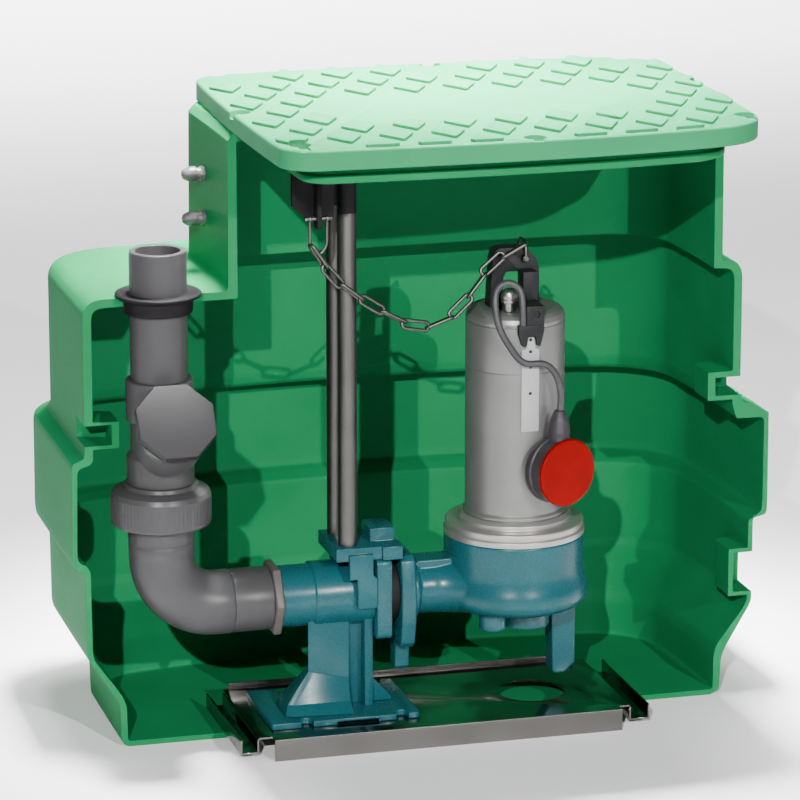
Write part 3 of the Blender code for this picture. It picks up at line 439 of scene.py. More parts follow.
def ribs_tree():
    """Upright ribs on a round wall."""
    tree, given = new_tree("ribs_on_a_ring", ("Count", "Int", 40), ("Radius", "Float", 0.05),
                           ("Rib Width", "Float", 0.002), ("Rib Depth", "Float", 0.001),
                           ("Rib Height", "Float", 0.03), ("Middle", "Vector", (0, 0, 0)),
                           ("Material", "Material", None))
    ring = add(tree, "GeometryNodeMeshCircle", {}, {"Vertices": given["Count"], "Radius": given["Radius"]})
    size = add(tree, "ShaderNodeCombineXYZ", {}, {"X": given["Rib Depth"], "Y": given["Rib Width"],
                                                 "Z": given["Rib Height"]})
    rib = add(tree, "GeometryNodeMeshCube", {}, {"Size": size.outputs["Vector"]})
    place = add(tree, "GeometryNodeInputPosition")
    heading = add(tree, "FunctionNodeAlignRotationToVector", {"axis": "X"}, {
        "Vector": place.outputs["Position"]})
    ribs = add(tree, "GeometryNodeInstanceOnPoints", {}, {
        "Points": ring.outputs["Mesh"], "Instance": rib.outputs["Mesh"],
        "Rotation": heading.outputs["Rotation"]})
    real = add(tree, "GeometryNodeRealizeInstances", {}, {"Geometry": ribs.outputs["Instances"]})
    moved = add(tree, "GeometryNodeTransform", {}, {"Geometry": real.outputs["Geometry"],
                                                   "Translation": given["Middle"]})
    both = add(tree, "GeometryNodeJoinGeometry", {}, {"Geometry": given["Geometry"]})
    tree.links.new(moved.outputs["Geometry"], both.inputs["Geometry"])
    return end_tree(tree, both.outputs["Geometry"], given["Material"])


def grow(piece, tree, **values):
    """Run a tree on a piece with its named inputs set, and keep the result as its mesh."""
    modifier = piece.modifiers.new("pattern", "NODES")
    modifier.node_group = tree
    for item in tree.interface.items_tree:
        label = item.name.lower().replace(" ", "_")
        if item.in_out == "INPUT" and label in values:
            modifier[item.identifier] = values[label]
    return bake(piece)


def points_piece(name, places, edges=()):
    """Loose points for a tree to work on; each place is (position, turn)."""
    mesh = bpy.data.meshes.new(name)
    mesh.from_pydata([tuple(p) for p, _ in places], list(edges), [])
    turn = mesh.attributes.new("turn", "FLOAT_VECTOR", "POINT")
    for i, (_, angles) in enumerate(places):
        turn.data[i].vector = angles
    piece = bpy.data.objects.new(name, mesh)
    bpy.context.scene.collection.objects.link(piece)
    return piece


def copy_on(name, part, places, material):
    """One piece made of copies of a part; the part itself is taken away."""
    piece = points_piece(name, places)
    grow(piece, bpy.data.node_groups.get("copies_on_points") or copies_tree(), part=part, size=1.0,
         material=material)
    bpy.data.objects.remove(part, do_unlink=True)
    return piece


# Settings that a user would change

def length(label, value, words):
    return bpy.props.FloatProperty(name=label, description=words, default=value, min=0, unit="LENGTH",
                                   precision=4)


def colour(label, code, words):
    return bpy.props.FloatVectorProperty(name=label, description=words, subtype="COLOR", size=3, min=0, max=1,
                                         default=linear(code)[:3])


class ColourSettings(bpy.types.PropertyGroup):
    """Colours, each with the second tone of its soft clouds"""
    tank: colour("Tank", "#156A3E", "Plastic of the tank")
    tank_cloud: colour("Tank Clouds", "#197044", "Second tone of the tank")
    lid: colour("Lid", "#257C4E", "Plastic of the tread lid")
    lid_cloud: colour("Lid Clouds", "#2A8054", "Second tone of the lid")
    pipe: colour("Pipe", "#3A393A", "Plastic of the discharge line")
    pipe_cloud: colour("Pipe Clouds", "#3E3D3F", "Second tone of the discharge line")
    enamel: colour("Enamel", "#12464D", "Enamel on the castings of the pump and its foot")
    enamel_cloud: colour("Enamel Clouds", "#154B52", "Second tone of the enamel")
    float_cap: colour("Float Cap", "#700000", "Lid of the float switch")
    float_cloud: colour("Float Cap Clouds", "#780000", "Second tone of the float's lid")


class TankSettings(bpy.types.PropertyGroup):
    """The moulded tank"""
    ledge_rounding: length("Ledge Rounding", 3.5 * MM, "How far the edges of the ledges are rounded")
    foot_rounding: length("Neck Foot Rounding", 7 * MM, "Rounding where the neck stands on the shelf")


class LidSettings(bpy.types.PropertyGroup):
    """The tread lid and its screws"""
    pad_pitch: length("Pad Pitch", 58 * MM, "From one tread pad to the next along a row")
    pad_side: length("Pad Side", 38 * MM, "Side of a tread pad")
    pad_height: length("Pad Height", 3.4 * MM, "How far a tread pad stands up")
    pocket_radius: length("Pocket Radius", 12 * MM, "Radius of the round pocket for a screw")
    pocket_depth: length("Pocket Depth", 7.4 * MM, "Depth of the pocket for a screw")


class DischargeSettings(bpy.types.PropertyGroup):
    """The discharge line"""
    rib_count: bpy.props.IntProperty(name="Ribs", description="Grip ribs on the union nut", default=72, min=8)
    rib_depth: length("Rib Depth", 0.3 * MM, "How far a grip rib stands out")


class ChainSettings(bpy.types.PropertyGroup):
    """The lifting chain"""
    pitch: length("Link Pitch", 28.5 * MM, "From one link to the next")
    wire: length("Wire", 4 * MM, "Thickness of a link's wire")
    link_width: length("Link Width", 13.4 * MM, "Width of a link over its wires")


class FloatSettings(bpy.types.PropertyGroup):
    """The float switch and its cable"""
    radius: length("Float Radius", 38 * MM, "Radius of the float")
    depth: length("Float Depth", 34 * MM, "Thickness of the float")
    cable: length("Cable", 7.6 * MM, "Thickness of the cable")


GROUPS = {"lift_colours": ColourSettings, "lift_tank": TankSettings, "lift_lid": LidSettings,
          "lift_discharge": DischargeSettings, "lift_chain": ChainSettings, "lift_float": FloatSettings}


# Tank

# Bows of the back, the right side and the left side
BODY_BOWS = (0.13, 0.05, 0.006)
NECK_BOWS = (0.05, 0.04, -0.02)
# Rounded rim of a hand recess, in mm: how far outside the rim, and how deep the wall already is there. The same
# steps, turned round, lead down to the floor of the recess
RIM = ((-1.2, 0), (-0.5, 0.25), (-0.1, 0.9))
# The recess fades out over this length, away from the cut
FADE = 10 * MM
# How far from the cut the wall's first points stand, in mm, close together where a recess fades out
NEAR_CUT = (0, 12, 24, 35.5, 37.5, 40.5, 43.5, 45.5, 47.5, 49.5, 52, 54.5, 62, 76, 98, 120)
# Longest step between two levels of the wall
LEVEL_STEP = 8 * MM
HOLLOWS = (
    # Hand recesses beside the cut, in mm: side, lowest, highest and depth on the outer face
    ((1, 354.5, 376, 30), (-1, 347.9, 370.8, 30.5), (1, 121, 167.8, 23)),
    # and on the inner face
    ((1, 349.4, 382.4, 29.7), (-1, 344.1, 374.2, 29.2), (1, 116.5, 172.5, 23)),
)


def half_outline(left, right, back, round_left, round_right, bow_back, bow_side, bow_left, arc=14, across=30):
    """Plan of the tank's wall from the right cut edge round the back to the left cut edge."""
    middle = (left + right) / 2
    half = (right - left) / 2
    near = [y * MM for y in NEAR_CUT]

    def side(sign, radius):
        start = back - radius
        points = [(sign * half, y) for y in near]
        points += [(sign * half, near[-1] + (start - near[-1]) * k / 4) for k in (1, 2, 3)]
        for k in range(arc + 1):
            a = 0.5 * math.pi * k / arc
            points.append((sign * (half - radius + radius * math.cos(a)), start + radius * math.sin(a)))
        return points

    right_part = side(1, round_right)
    left_part = side(-1, round_left)
    x0, x1 = right_part[-1][0], left_part[-1][0]
    back_part = [(x0 + (x1 - x0) * (k + 1) / (across + 1), back) for k in range(across)]
    out = []
    for x, y in right_part + back_part + left_part[::-1]:
        bow = bow_side if x > 0 else bow_left
        out.append((middle + x * (1 - bow * (y / back) ** 2), y * (1 - bow_back * (x / half) ** 2)))
    return out


def bend(corners, longest):
    """Levels of a wall from its corners, each corner rounded by the reach that ends its row."""
    rows = [[v * MM for v in row[:6]] + list(row[6]) for row in corners]
    reaches = [row[7] * MM for row in corners]

    def mix(a, b, t):
        return [x + (y - x) * t for x, y in zip(a, b)]

    def span(a, b):
        return math.sqrt(sum((x - y) ** 2 for x, y in zip(a[:3], b[:3])))

    out = [rows[0]]
    for i in range(1, len(rows) - 1):
        before, here, after = rows[i - 1:i + 2]
        reach = min(reaches[i], 0.48 * span(before, here), 0.48 * span(here, after))
        if reach <= 0:
            out.append(here)
            continue
        start = mix(here, before, reach / span(before, here))
        end = mix(here, after, reach / span(here, after))
        for k in range(6):
            t = k / 5
            out.append(mix(mix(start, here, t), mix(here, end, t), t))
    out.append(rows[-1])
    fine = [out[0]]
    for a, b in zip(out, out[1:]):
        count = max(1, math.ceil(span(a, b) / longest))
        fine += [mix(a, b, (k + 1) / count) for k in range(count)]
    return fine


def with_levels(rows, heights):
    """Levels of a wall with more of them put in at the given heights."""
    out = [rows[0]]
    for a, b in zip(rows, rows[1:]):
        inner = sorted((h for h in heights if min(a[0], b[0]) + 1e-5 < h < max(a[0], b[0]) - 1e-5),
                       reverse=b[0] < a[0])
        out += [[x + (y - x) * (h - a[0]) / (b[0] - a[0]) for x, y in zip(a, b)] for h in inner]
        out.append(b)
    return out


def ramp(value, low, high):
    t = min(1.0, max(0.0, (value - low) / (high - low)))
    return t * t * (3 - 2 * t)


def pressed(point, hollows, reach):
    """A point of the wall, pushed in where half of a hand recess lies beside the cut."""
    share = 1 - ramp(point.y, reach, reach + FADE)
    for side, low, high, depth in hollows:
        past = min(point.z / MM - low, high - point.z / MM)
        if point.x * side <= 0 or past <= RIM[0][0]:
            continue
        marks = RIM + tuple((-at, depth - deep) for at, deep in reversed(RIM)) + ((math.inf, depth),)
        for (a, va), (b, vb) in zip(marks, marks[1:]):
            if a <= past <= b:
                point.x -= side * share * (va + (vb - va) * (past - a) / (b - a)) * MM
                break
    return point


def build_tank(material, rounding):
    ledge = rounding.ledge_rounding / MM
    neck_foot = rounding.foot_rounding / MM
    top = NECK_TOP / MM
    body, neck = BODY_BOWS, NECK_BOWS
    # Wall in mm: height, left, right, back, corner radii, bows and the rounding where the wall bends
    outside = bend([
        (0, -340, 341, 258, 60, 60, body, 0), (5, -348, 352, 266, 66, 66, body, 5),
        (44, -349, 354, 268, 66, 66, body, 6), (56, -353, 359, 272, 66, 66, body, 6),
        (104, -384, 387, 309, 72, 72, body, 3), (111, -385, 389.5, 312, 72, 72, body, 3),
        (199.2, -386, 389.5, 312, 72, 72, body, 2), (202.7, -387, 389.5, 312.5, 72, 72, body, 1.7),
        (205.4, -391.5, 389.7, 315, 74, 74, body, 1.2), (207.7, -394.5, 390.5, 319, 76, 76, body, 1.2),
        (211.5, -398.5, 405.5, 332, 80, 80, body, ledge), (221, -399.4, 406.4, 338, 82, 82, body, ledge),
        (323, -399, 406, 338, 82, 82, body, ledge), (328.7, -397.3, 406, 337, 82, 82, body, 2),
        (331, -392, 406, 336, 82, 82, body, 1.2), (334.5, -385, 401, 327, 78, 78, body, 2),
        (342.3, -384, 388.5, 307, 72, 72, body, 1.5), (344.2, -384, 384.5, 303, 71, 71, body, 0.8),
        (344.6, -384, 377, 301, 71, 71, body, 1), (346.6, -384, 374.5, 298, 70, 70, body, 0.8),
        (348, -384, 373, 296, 70, 70, body, 0.8), (354.7, -384, 371.5, 296, 70, 70, body, 1),
        (371, -384, 371, 296, 70, 70, body, 0), (492.3, -384, 371, 296, 70, 70, body, 4),
        (498, -383, 370, 294.5, 68, 68, body, 3), (505, -379, 367, 289, 62, 64, body, 3.5),
        (509.5, -373, 362, 282, 56, 60, body, 4), (511.5, -364, 356, 272, 48, 56, body, 4),
        (511.5, -222, 347, 214, 34, 58, neck, neck_foot), (678, -221, 346, 213, 34, 58, neck, 1),
        (top, -215, 340, 207, 34, 58, neck, 1), (top, -189, 299, 201.5, 34, 58, neck, 0),
    ], LEVEL_STEP)
    inside = bend([
        (top, -189, 299, 201.5, 34, 58, neck, 0), (678.5, -189, 299, 201.5, 34, 58, neck, 1),
        (677, -211.5, 336.5, 203.5, 34, 58, neck, 2), (503, -211.5, 337, 204, 34, 58, neck, 3),
        (502, -360, 352, 268, 44, 50, body, 3), (501, -367, 356, 278, 52, 54, body, 2),
        (497, -373, 360, 285, 58, 58, body, 4), (490, -374.5, 361.5, 287, 60, 60, body, 3),
        (344, -374.8, 362, 287, 60, 60, body, 2), (340, -375, 363, 287.5, 60, 60, body, 2),
        (331, -375.2, 366, 290, 60, 60, body, 1.5), (326.8, -378.5, 368, 294, 64, 64, body, 0.6),
        (326.2, -379.7, 397.5, 329, 76, 76, body, 1.5), (323.6, -389.7, 400, 331, 76, 76, body, 1.5),
        (319.3, -392.8, 400.5, 332.5, 76, 76, body, ledge), (224, -394.5, 400.5, 332.5, 76, 76, body, ledge),
        (216.3, -392.2, 399.5, 331, 76, 76, body, 2.5), (212.5, -384.5, 396, 321, 70, 70, body, 2),
        (205, -380, 384, 306.5, 66, 66, body, 3), (111, -379, 384, 306.5, 66, 66, body, 3),
        (102, -376.6, 380.5, 303, 66, 66, body, 3), (59, -346.5, 348, 266, 60, 60, body, 7),
        (47, -342, 345, 262, 60, 60, body, 4), (6.3, -341, 344.5, 261.5, 60, 60, body, 5),
        (6.3, -333, 335, 253, 52, 52, body, 0),
    ], LEVEL_STEP)
    verts = []
    columns = []
    for rows, hollows, reach in ((outside, HOLLOWS[0], 35.5 * MM), (inside[1:], HOLLOWS[1], 44.5 * MM)):
        edges = [z + s * t for _, low, high, _ in hollows for z, s in ((low, 1), (high, -1))
                 for t in [at * way for at, _ in RIM for way in (1, -1)]]
        for z, *plan in with_levels(rows, [z * MM for z in edges]):
            outline = half_outline(*plan)
            columns.append(list(range(len(verts), len(verts) + len(outline))))
            verts += [pressed(Vector((x, y, z)), hollows, reach) for x, y in outline]
    faces = [(a[i], a[i + 1], b[i + 1], b[i]) for a, b in zip(columns, columns[1:]) for i in range(len(a) - 1)]
    faces.append(tuple(columns[0]))
    faces.append(tuple(columns[-1]))
    faces.append(tuple([c[0] for c in columns] + [c[-1] for c in reversed(columns)]))
    tank = solid("tank_shell", verts, faces)
    hole = bar("seal_hole", (PIPE_X, 0, 0.48), (PIPE_X, 0, 0.53), SEAL_HOLE_R, 96)
    carve(tank, "DIFFERENCE", hole)
    finish(tank, material, ("tank_base", "tank_lower_wall", "tank_rib_band",
                                                 "tank_upper_wall", "tank_deck", "tank_neck"), 40)


# Lid

LID_LEFT = -216 * MM
LID_RIGHT = 330 * MM
LID_HALF_DEPTH = 229 * MM
LID_TOP = 709 * MM
LID_SKIRT_BOTTOM = 687 * MM
LID_WALL = 8 * MM
SCREWS = [(x * MM, y * MM) for x, y in ((-188, -189), (60, -214), (314, -155), (-207, 1), (-182, 224), (68, 219),
                                         (292, 203), (328, 33))]
PAD_SLANT = math.radians(60.8)


LID_BOWS = (0.035, 0.02, 0.02)
# The lid's right end draws in by this share of its depth, from this far right of the middle and over this length
LID_TAPER, TAPER_FROM, TAPER_LENGTH = 0.075, 0.05, 0.28
# Beyond this depth a screw pocket opens to the front or back, else to the side
MOUTH_TURN_Y = 0.14
MOUTH_REACH = 0.03
CUT_CLEAR = 0.02


def lid_outline(inward, z, round_left=34 * MM, round_right=56 * MM):
    """Whole outline of the lid at one height; its right end is a little narrower than its left."""
    half = half_outline(LID_LEFT + inward, LID_RIGHT - inward, LID_HALF_DEPTH - inward,
                        max(round_left - inward, 4 * MM), max(round_right - inward, 4 * MM), *LID_BOWS, 10)
    half = [(x, y * (1 - LID_TAPER * max(0.0, (x - TAPER_FROM) / TAPER_LENGTH) ** 2)) for x, y in half]
    return [Vector((x, y, z)) for x, y in half + [(x, -y) for x, y in reversed(half[1:-1])]]


def pocket_tools(lid, depth):
    """Round cutters for the screw pockets, from the given depth under the lid's top."""
    return [bar("pocket", (x, y, LID_TOP - depth), (x, y, LID_TOP + CUT_CLEAR), lid.pocket_radius, 40)
            for x, y in SCREWS]


def pocket_mouth(x, y, lid):
    """Cutter that opens a screw pocket towards the lid's nearest edge, for water to run off."""
    half = lid.pocket_radius * 0.45
    if abs(y) > MOUTH_TURN_Y:
        box = (x - half, x + half, *sorted((y, y + math.copysign(MOUTH_REACH, y))))
    else:
        box = (*sorted((x, x + math.copysign(MOUTH_REACH, x))), y - half, y + half)
    return block("mouth", *box, LID_TOP - 0.3 * lid.pocket_depth, LID_TOP + CUT_CLEAR)


def build_lid(material, lid):
    edge = 3.2 * MM
    rings = [lid_outline(LID_WALL, LID_TOP - LID_WALL), lid_outline(LID_WALL, LID_SKIRT_BOTTOM + 0.6 * MM),
             lid_outline(LID_WALL - 0.6 * MM, LID_SKIRT_BOTTOM), lid_outline(0.8 * MM, LID_SKIRT_BOTTOM),
             lid_outline(0, LID_SKIRT_BOTTOM + 0.8 * MM)]
    for k in range(7):
        a = 0.5 * math.pi * k / 6
        rings.append(lid_outline(edge * (1 - math.cos(a)), LID_TOP - edge * (1 - math.sin(a))))
    top = loft("lid_top", rings)
    tools = []
    for (x, y), pocket in zip(SCREWS, pocket_tools(lid, lid.pocket_depth)):
        tools += [pocket, pocket_mouth(x, y, lid)]
    carve(top, "DIFFERENCE", *tools)
    finish(soften(top, 0.7 * MM, 2, 50), material, ("lid_plate",))


def pad_places(lid):
    """Middles of the tread pads: two slanted rows of directions, bare in the middle and round the pockets."""
    first = Vector((-191.7 * MM, 103.4 * MM, LID_TOP))
    pockets = {(0, 1), (4, 5), (8, 9), (4, -3), (8, 1)}
    places = []
    for a in range(12):
        for b in range(-7, 10):
            along, across = a + b, b - a
            if not (0 <= along <= 18 and -7 <= across <= 1) or (a, b) in pockets:
                continue
            if 3 <= along <= 15 and across in (-2, -3, -4):
                continue
            corner = first + lid.pad_pitch * Vector((along * math.cos(PAD_SLANT), across * math.sin(PAD_SLANT), 0))
            places.append((corner + Vector((0, lid.pad_side * math.sin(PAD_SLANT), 0)), (0, 0, 0)))
    return places


def build_lid_pads(material, lid):
    reach_x, reach_y = lid.pad_side * math.cos(PAD_SLANT), lid.pad_side * math.sin(PAD_SLANT)
    corners = [(reach_x, 0, 2 * MM), (0, reach_y, 2 * MM), (-reach_x, 0, 2 * MM), (0, -reach_y, 2 * MM)]
    pad = plate("pad", corners, "z", -0.4 * MM, lid.pad_height, 0.4 * MM)
    pads = copy_on("lid_tread_pads", pad, pad_places(lid), material)
    rim = 4.5 * MM
    carve(pads, "INTERSECT", loft("rim", [lid_outline(rim, LID_TOP - 0.01), lid_outline(rim, LID_TOP + 0.01)]))
    carve(pads, "DIFFERENCE", *pocket_tools(lid, 0.01))
    finish(pads, material)


def build_lid_screws(material, lid):
    floor = LID_TOP - lid.pocket_depth
    # Under its head each screw has a wide, thin disc of the darker tank plastic covering the pocket's floor: painted
    # shade in the pocket
    screw = turned("screw", [(0, -0.4 * MM), (11.3 * MM, -0.4 * MM), (11.3 * MM, 0.5 * MM, 0.2 * MM),
                             (7.5 * MM, 0.5 * MM), (7.5 * MM, 2.6 * MM, 0.8 * MM),
                             (5 * MM, 3.4 * MM, 0.5 * MM), (4 * MM, 2 * MM), (0, 2 * MM)], sides=32, steps=3)
    screws = copy_on("lid_screws", screw, [(Vector((x, y, floor)), (0, 0, 0)) for x, y in SCREWS],
                     material)
    finish(screws, material)


def build_lid_lip(material):
    top = LID_TOP - LID_WALL - GAP
    bottom = 666 * MM
    section = rounded([(42 * MM, bottom, 1 * MM), (30 * MM, bottom, 2.5 * MM), (30 * MM, bottom + 8 * MM, 2.5 * MM),
                       (35 * MM, bottom + 9.5 * MM, 1 * MM), (35 * MM, top), (42 * MM, top)], steps=4)
    rings = [lid_outline(inward, z, 58 * MM, 82 * MM) for inward, z in section]
    finish(loft("lid_lip", rings, endless=True), material, ("lid_inner_lip",))


# Cable glands in the neck

def build_glands(material):
    for name, z in (("cable_gland_upper", 621.3 * MM), ("cable_gland_lower", 571 * MM)):
        spot = (-223.1 * MM, 107 * MM, z)
        body = turned("neck_" + name, [
            (0, 0), (8.8 * MM, 0), (8.8 * MM, 1.4 * MM, 0.4 * MM), (7 * MM, 4.2 * MM), (7 * MM, 9 * MM),
            (8.4 * MM, 9.6 * MM, 0.5 * MM), (8.4 * MM, 17 * MM, 1.5 * MM), (6 * MM, 23 * MM, 1.5 * MM),
            (4 * MM, 25 * MM, 0.4 * MM), (2.8 * MM, 25 * MM), (2.8 * MM, 20 * MM), (0, 20 * MM)],
            spot, (-1, 0, 0), 48)
        nut = turned("nut", [(0, 1.5 * MM), (9 * MM, 1.5 * MM), (9 * MM, 4.4 * MM), (0, 4.4 * MM)],
                     spot, (-1, 0, 0), 6)
        finish(merge(body, soften(nut, 0.3 * MM)), material, (name,))


# Discharge line

def build_riser(pipe, rubber):
    riser = turned("riser", [(PIPE_R, VALVE_TOP + GAP), (PIPE_R, PIPE_TOP, 1.2 * MM), (PIPE_BORE_R, PIPE_TOP, 1 * MM),
                             (PIPE_BORE_R, VALVE_TOP + GAP)], (PIPE_X, 0, 0))
    finish(riser, pipe, ("riser_pipe",))
    inner = PIPE_R + GAP
    seal = turned("shelf_seal", [
        (inner, 0.4945), (37 * MM, 0.4945), (38 * MM, 0.497, 1 * MM), (38 * MM, SHELF_TOP + GAP),
        (47 * MM, SHELF_TOP + 1 * MM, 1 * MM), (47.5 * MM, SHELF_TOP + 4 * MM, 1.5 * MM),
        (44 * MM, SHELF_TOP + 5.5 * MM, 2 * MM), (35 * MM, SHELF_TOP + 3.2 * MM, 1 * MM),
        (inner, SHELF_TOP + 5 * MM, 0.4 * MM)], (PIPE_X, 0, 0))
    finish(seal, rubber, ("pipe_seal",))


# The valve's branch leans back from the riser towards the cut side; its cap's face looks up along it
VALVE_TILT = math.radians(38)
CAP_FACE = Vector((PIPE_X, -85 * MM, 393 * MM))
CAP_DEPTH = 14.5 * MM


def build_valve(pipe, cap_shade_finish):
    body = turned("valve_body", [
        (0, 0.3033), (37 * MM, 0.3033), (37 * MM, 0.3335, 1.5 * MM), (32.5 * MM, 0.3395, 2 * MM),
        (32.5 * MM, 0.3705, 2 * MM), (37 * MM, 0.375, 1.5 * MM), (37 * MM, VALVE_TOP, 1.5 * MM), (0, VALVE_TOP)],
        (PIPE_X, 0, 0))
    out = Vector((0, -math.cos(VALVE_TILT), math.sin(VALVE_TILT)))
    base = CAP_FACE - out * CAP_DEPTH
    branch = turned("branch", [
        (0, -0.075), (26 * MM, -0.075), (37 * MM, -0.05, 10 * MM), (39 * MM, -0.014, 1 * MM),
        (39 * MM, -0.009), (37.4 * MM, -0.0085), (37.4 * MM, -0.0068), (39 * MM, -0.0063),
        (39 * MM, -0.0003), (0, -0.0003)], base, out)
    carve(body, "UNION", branch)
    carve(body, "DIFFERENCE", block("trim", PIPE_X - 0.09, PIPE_X + 0.09, -0.12, 0.08, 0.25, 0.3033))
    finish(soften(body, 1.2 * MM), pipe, ("check_valve_body",))
    # The seat and the cap take the darkened PVC, painted shade on the cap's face
    seat = turned("valve_seat", [(0, 0), (40 * MM, 0, 0.6 * MM), (40 * MM, 1.5 * MM, 0.6 * MM), (38.5 * MM, 2.1 * MM),
                                 (42.5 * MM, 2.8 * MM, 0.5 * MM), (42.5 * MM, 4 * MM), (0, 4 * MM)], base, out)
    cap = turned("valve_cap", [(0, 3.6 * MM), (46 * MM, 3.6 * MM), (46 * MM, 13.7 * MM), (45 * MM, CAP_DEPTH),
                               (0, CAP_DEPTH)], base, out, 8, turn=22.5)
    finish(merge(soften(cap, 0.5 * MM), seat), cap_shade_finish, ("check_valve_cap",))


def build_union(pipe, line):
    nut = turned("union_ring", [
        (0, 0.257), (54 * MM, 0.257, 1 * MM), (55.2 * MM, 0.2595, 1 * MM), (55.2 * MM, 0.289, 1.5 * MM),
        (53 * MM, 0.2945, 1.5 * MM), (46 * MM, 0.2975, 2 * MM), (41.5 * MM, 0.2985, 1 * MM),
        (40.5 * MM, 0.303, 1 * MM), (0, 0.303)], (PIPE_X, 0, 0))
    grow(nut, ribs_tree(), count=line.rib_count, radius=55.2 * MM, rib_width=3 * MM, rib_depth=2 * line.rib_depth,
         rib_height=24 * MM, middle=Vector((PIPE_X, 0, 0.2745)), material=pipe)
    finish(nut, pipe, ("union_nut",))


def build_elbow(pipe, nut_finish):
    bend_r = 57 * MM
    elbow_r = 36 * MM
    centre = Vector((PIPE_X + bend_r, 0, DISCHARGE_Z + bend_r))
    path = [(Vector((PIPE_X, 0, z)), r) for z, r in (
        (0.2567, elbow_r + 0.8 * MM), (0.2375, elbow_r + 0.8 * MM), (0.2365, elbow_r), (0.2345, elbow_r),
        (0.2335, elbow_r + 0.5 * MM), (0.2255, elbow_r + 0.5 * MM), (0.2245, elbow_r))]
    for k in range(25):
        a = 0.5 * math.pi * k / 24
        path.append((centre + bend_r * Vector((-math.cos(a), 0, -math.sin(a))), elbow_r))
    path += [(Vector((x, 0, DISCHARGE_Z)), r) for x, r in (
        (-0.2265, elbow_r), (-0.2252, elbow_r - 0.6 * MM), (-0.225, elbow_r - 1.4 * MM))]
    elbow = sweep("elbow", [p for p, _ in path], elbow_r, 72, radii=[r for _, r in path])
    finish(elbow, pipe, ("discharge_elbow",))
    sleeve = bar("sleeve", (-0.225 + GAP, 0, DISCHARGE_Z), (-0.180 - GAP, 0, DISCHARGE_Z), 35.5 * MM, 96, 1 * MM)
    finish(sleeve, pipe, ("pipe_sleeve",))
    nut = turned("hexagon_nut", [(0, 0), (41 * MM, 0), (43 * MM, 1.5 * MM), (43 * MM, 8.5 * MM), (41 * MM, 10 * MM),
                                 (0, 10 * MM)], (-0.180, 0, DISCHARGE_Z), (1, 0, 0), 6)
    finish(soften(nut, 0.6 * MM), nut_finish, ("adapter_nut",))


# Coupling foot

# Spreading foot of the pedestal: three rings of corners, from the plate upwards
FLARE = (
    ((-0.1690, 0.0140, 0.0327), (-0.1705, -0.0390, 0.0327), (-0.1610, -0.0440, 0.0327),
     (-0.0945, -0.0500, 0.0327), (-0.0945, 0.0360, 0.0327), (-0.1270, 0.0360, 0.0327)),
    ((-0.1630, 0.0110, 0.0425), (-0.1660, -0.0300, 0.0425), (-0.1580, -0.0330, 0.0425),
     (-0.0945, -0.0330, 0.0425), (-0.0945, 0.0330, 0.0425), (-0.1260, 0.0330, 0.0425)),
    ((-0.1345, 0.0000, 0.0775), (-0.1405, -0.0245, 0.0775), (-0.1320, -0.0245, 0.0750),
     (-0.0945, -0.0245, 0.0670), (-0.0945, 0.0245, 0.0700), (-0.1230, 0.0245, 0.0775)),
)


def build_foot(paint):
    z = DISCHARGE_Z
    foot = turned("foot_casting", [
        (0, -0.1697), (34.5 * MM, -0.1697, 1 * MM), (34.5 * MM, -0.134, 0.8 * MM), (37 * MM, -0.132, 1 * MM),
        (37 * MM, -0.0653, 0.5 * MM), (0, -0.0653)], (0, 0, z), (1, 0, 0))
    half = [(-0.094, 0.024), (-0.094, 0.010), (-0.076, 0.010), (-0.076, 0.026), (-0.067, 0.026)]
    outline = [(-0.123, 0.024)] + half + [(x, -y) for x, y in reversed(half)] + [(-0.1405, -0.024)]
    pedestal = plate("pedestal", outline, "z", 0.0323, z - 0.0105)
    flare = loft("flare", [[Vector(v) for v in ring] for ring in FLARE])
    toe = plate("toe", [(-0.0695, 0.0329), (-0.042, 0.0329), (-0.042, 0.036), (-0.0695, 0.066)],
                "y", -0.0122, 0.0122)
    carve(foot, "UNION", pedestal, flare, toe)
    finish(soften(foot, 1 * MM), paint, ("coupling_foot",))


def build_base_plate(paint):
    base = plate("foot_plate", [(-0.192, -0.062, 4 * MM), (-0.022, -0.062, 4 * MM), (-0.022, 0.062, 4 * MM),
                                (-0.192, 0.062, 4 * MM)], "z", TRAY_TOP + GAP, 0.032)
    slots = [plate("slot", [(x - 0.007, y0), (x + 0.007, y0), (x + 0.007, y1, 6 * MM), (x - 0.007, y1, 6 * MM)],
                   "z", 0, 0.05) for x in (-0.151, -0.042) for y0, y1 in ((-0.08, -0.049), (0.08, 0.049))]
    slots.append(block("drain", -0.117, -0.069, -0.07, -0.054, 0.02, TRAY_TOP + 4 * MM))
    carve(base, "DIFFERENCE", *slots)
    finish(soften(base, 0.8 * MM), paint, ("foot_base_plate",))


def build_flanges(paint, rubber):
    z = DISCHARGE_Z
    flange = plate("flange_slab", [(-0.040, 0.112, 8 * MM), (0.040, 0.112, 8 * MM), (0.040, 0.2057, 8 * MM),
                                   (-0.040, 0.2057, 8 * MM)], "x", -0.065, -0.048, 1 * MM)
    finish(flange, paint, ("foot_flange",))
    seal = bar("flange_gasket", (-0.048 + GAP, 0, z), (-0.037 - GAP, 0, z), 37 * MM, 96, 1.5 * MM)
    finish(seal, rubber, ("flange_seal",))
    half = [(-0.006, 0.066, 3 * MM), (-0.010, 0.070, 3 * MM), (-0.012, 0.098, 6 * MM), (-0.030, 0.098, 5 * MM),
            (-0.036, 0.104, 6 * MM), (-0.042, 0.130, 20 * MM), (-0.043, 0.152, 20 * MM), (-0.042, 0.174, 20 * MM),
            (-0.036, 0.200, 6 * MM), (-0.030, 0.2055, 5 * MM)]
    outline = [(-y, h, r) for y, h, r in half] + [(y, h, r) for y, h, r in reversed(half)]
    pump_flange = plate("pump_flange_plate", outline, "x", -0.037, -0.0203, 2.2 * MM, 4)
    finish(pump_flange, paint, ("pump_flange",))


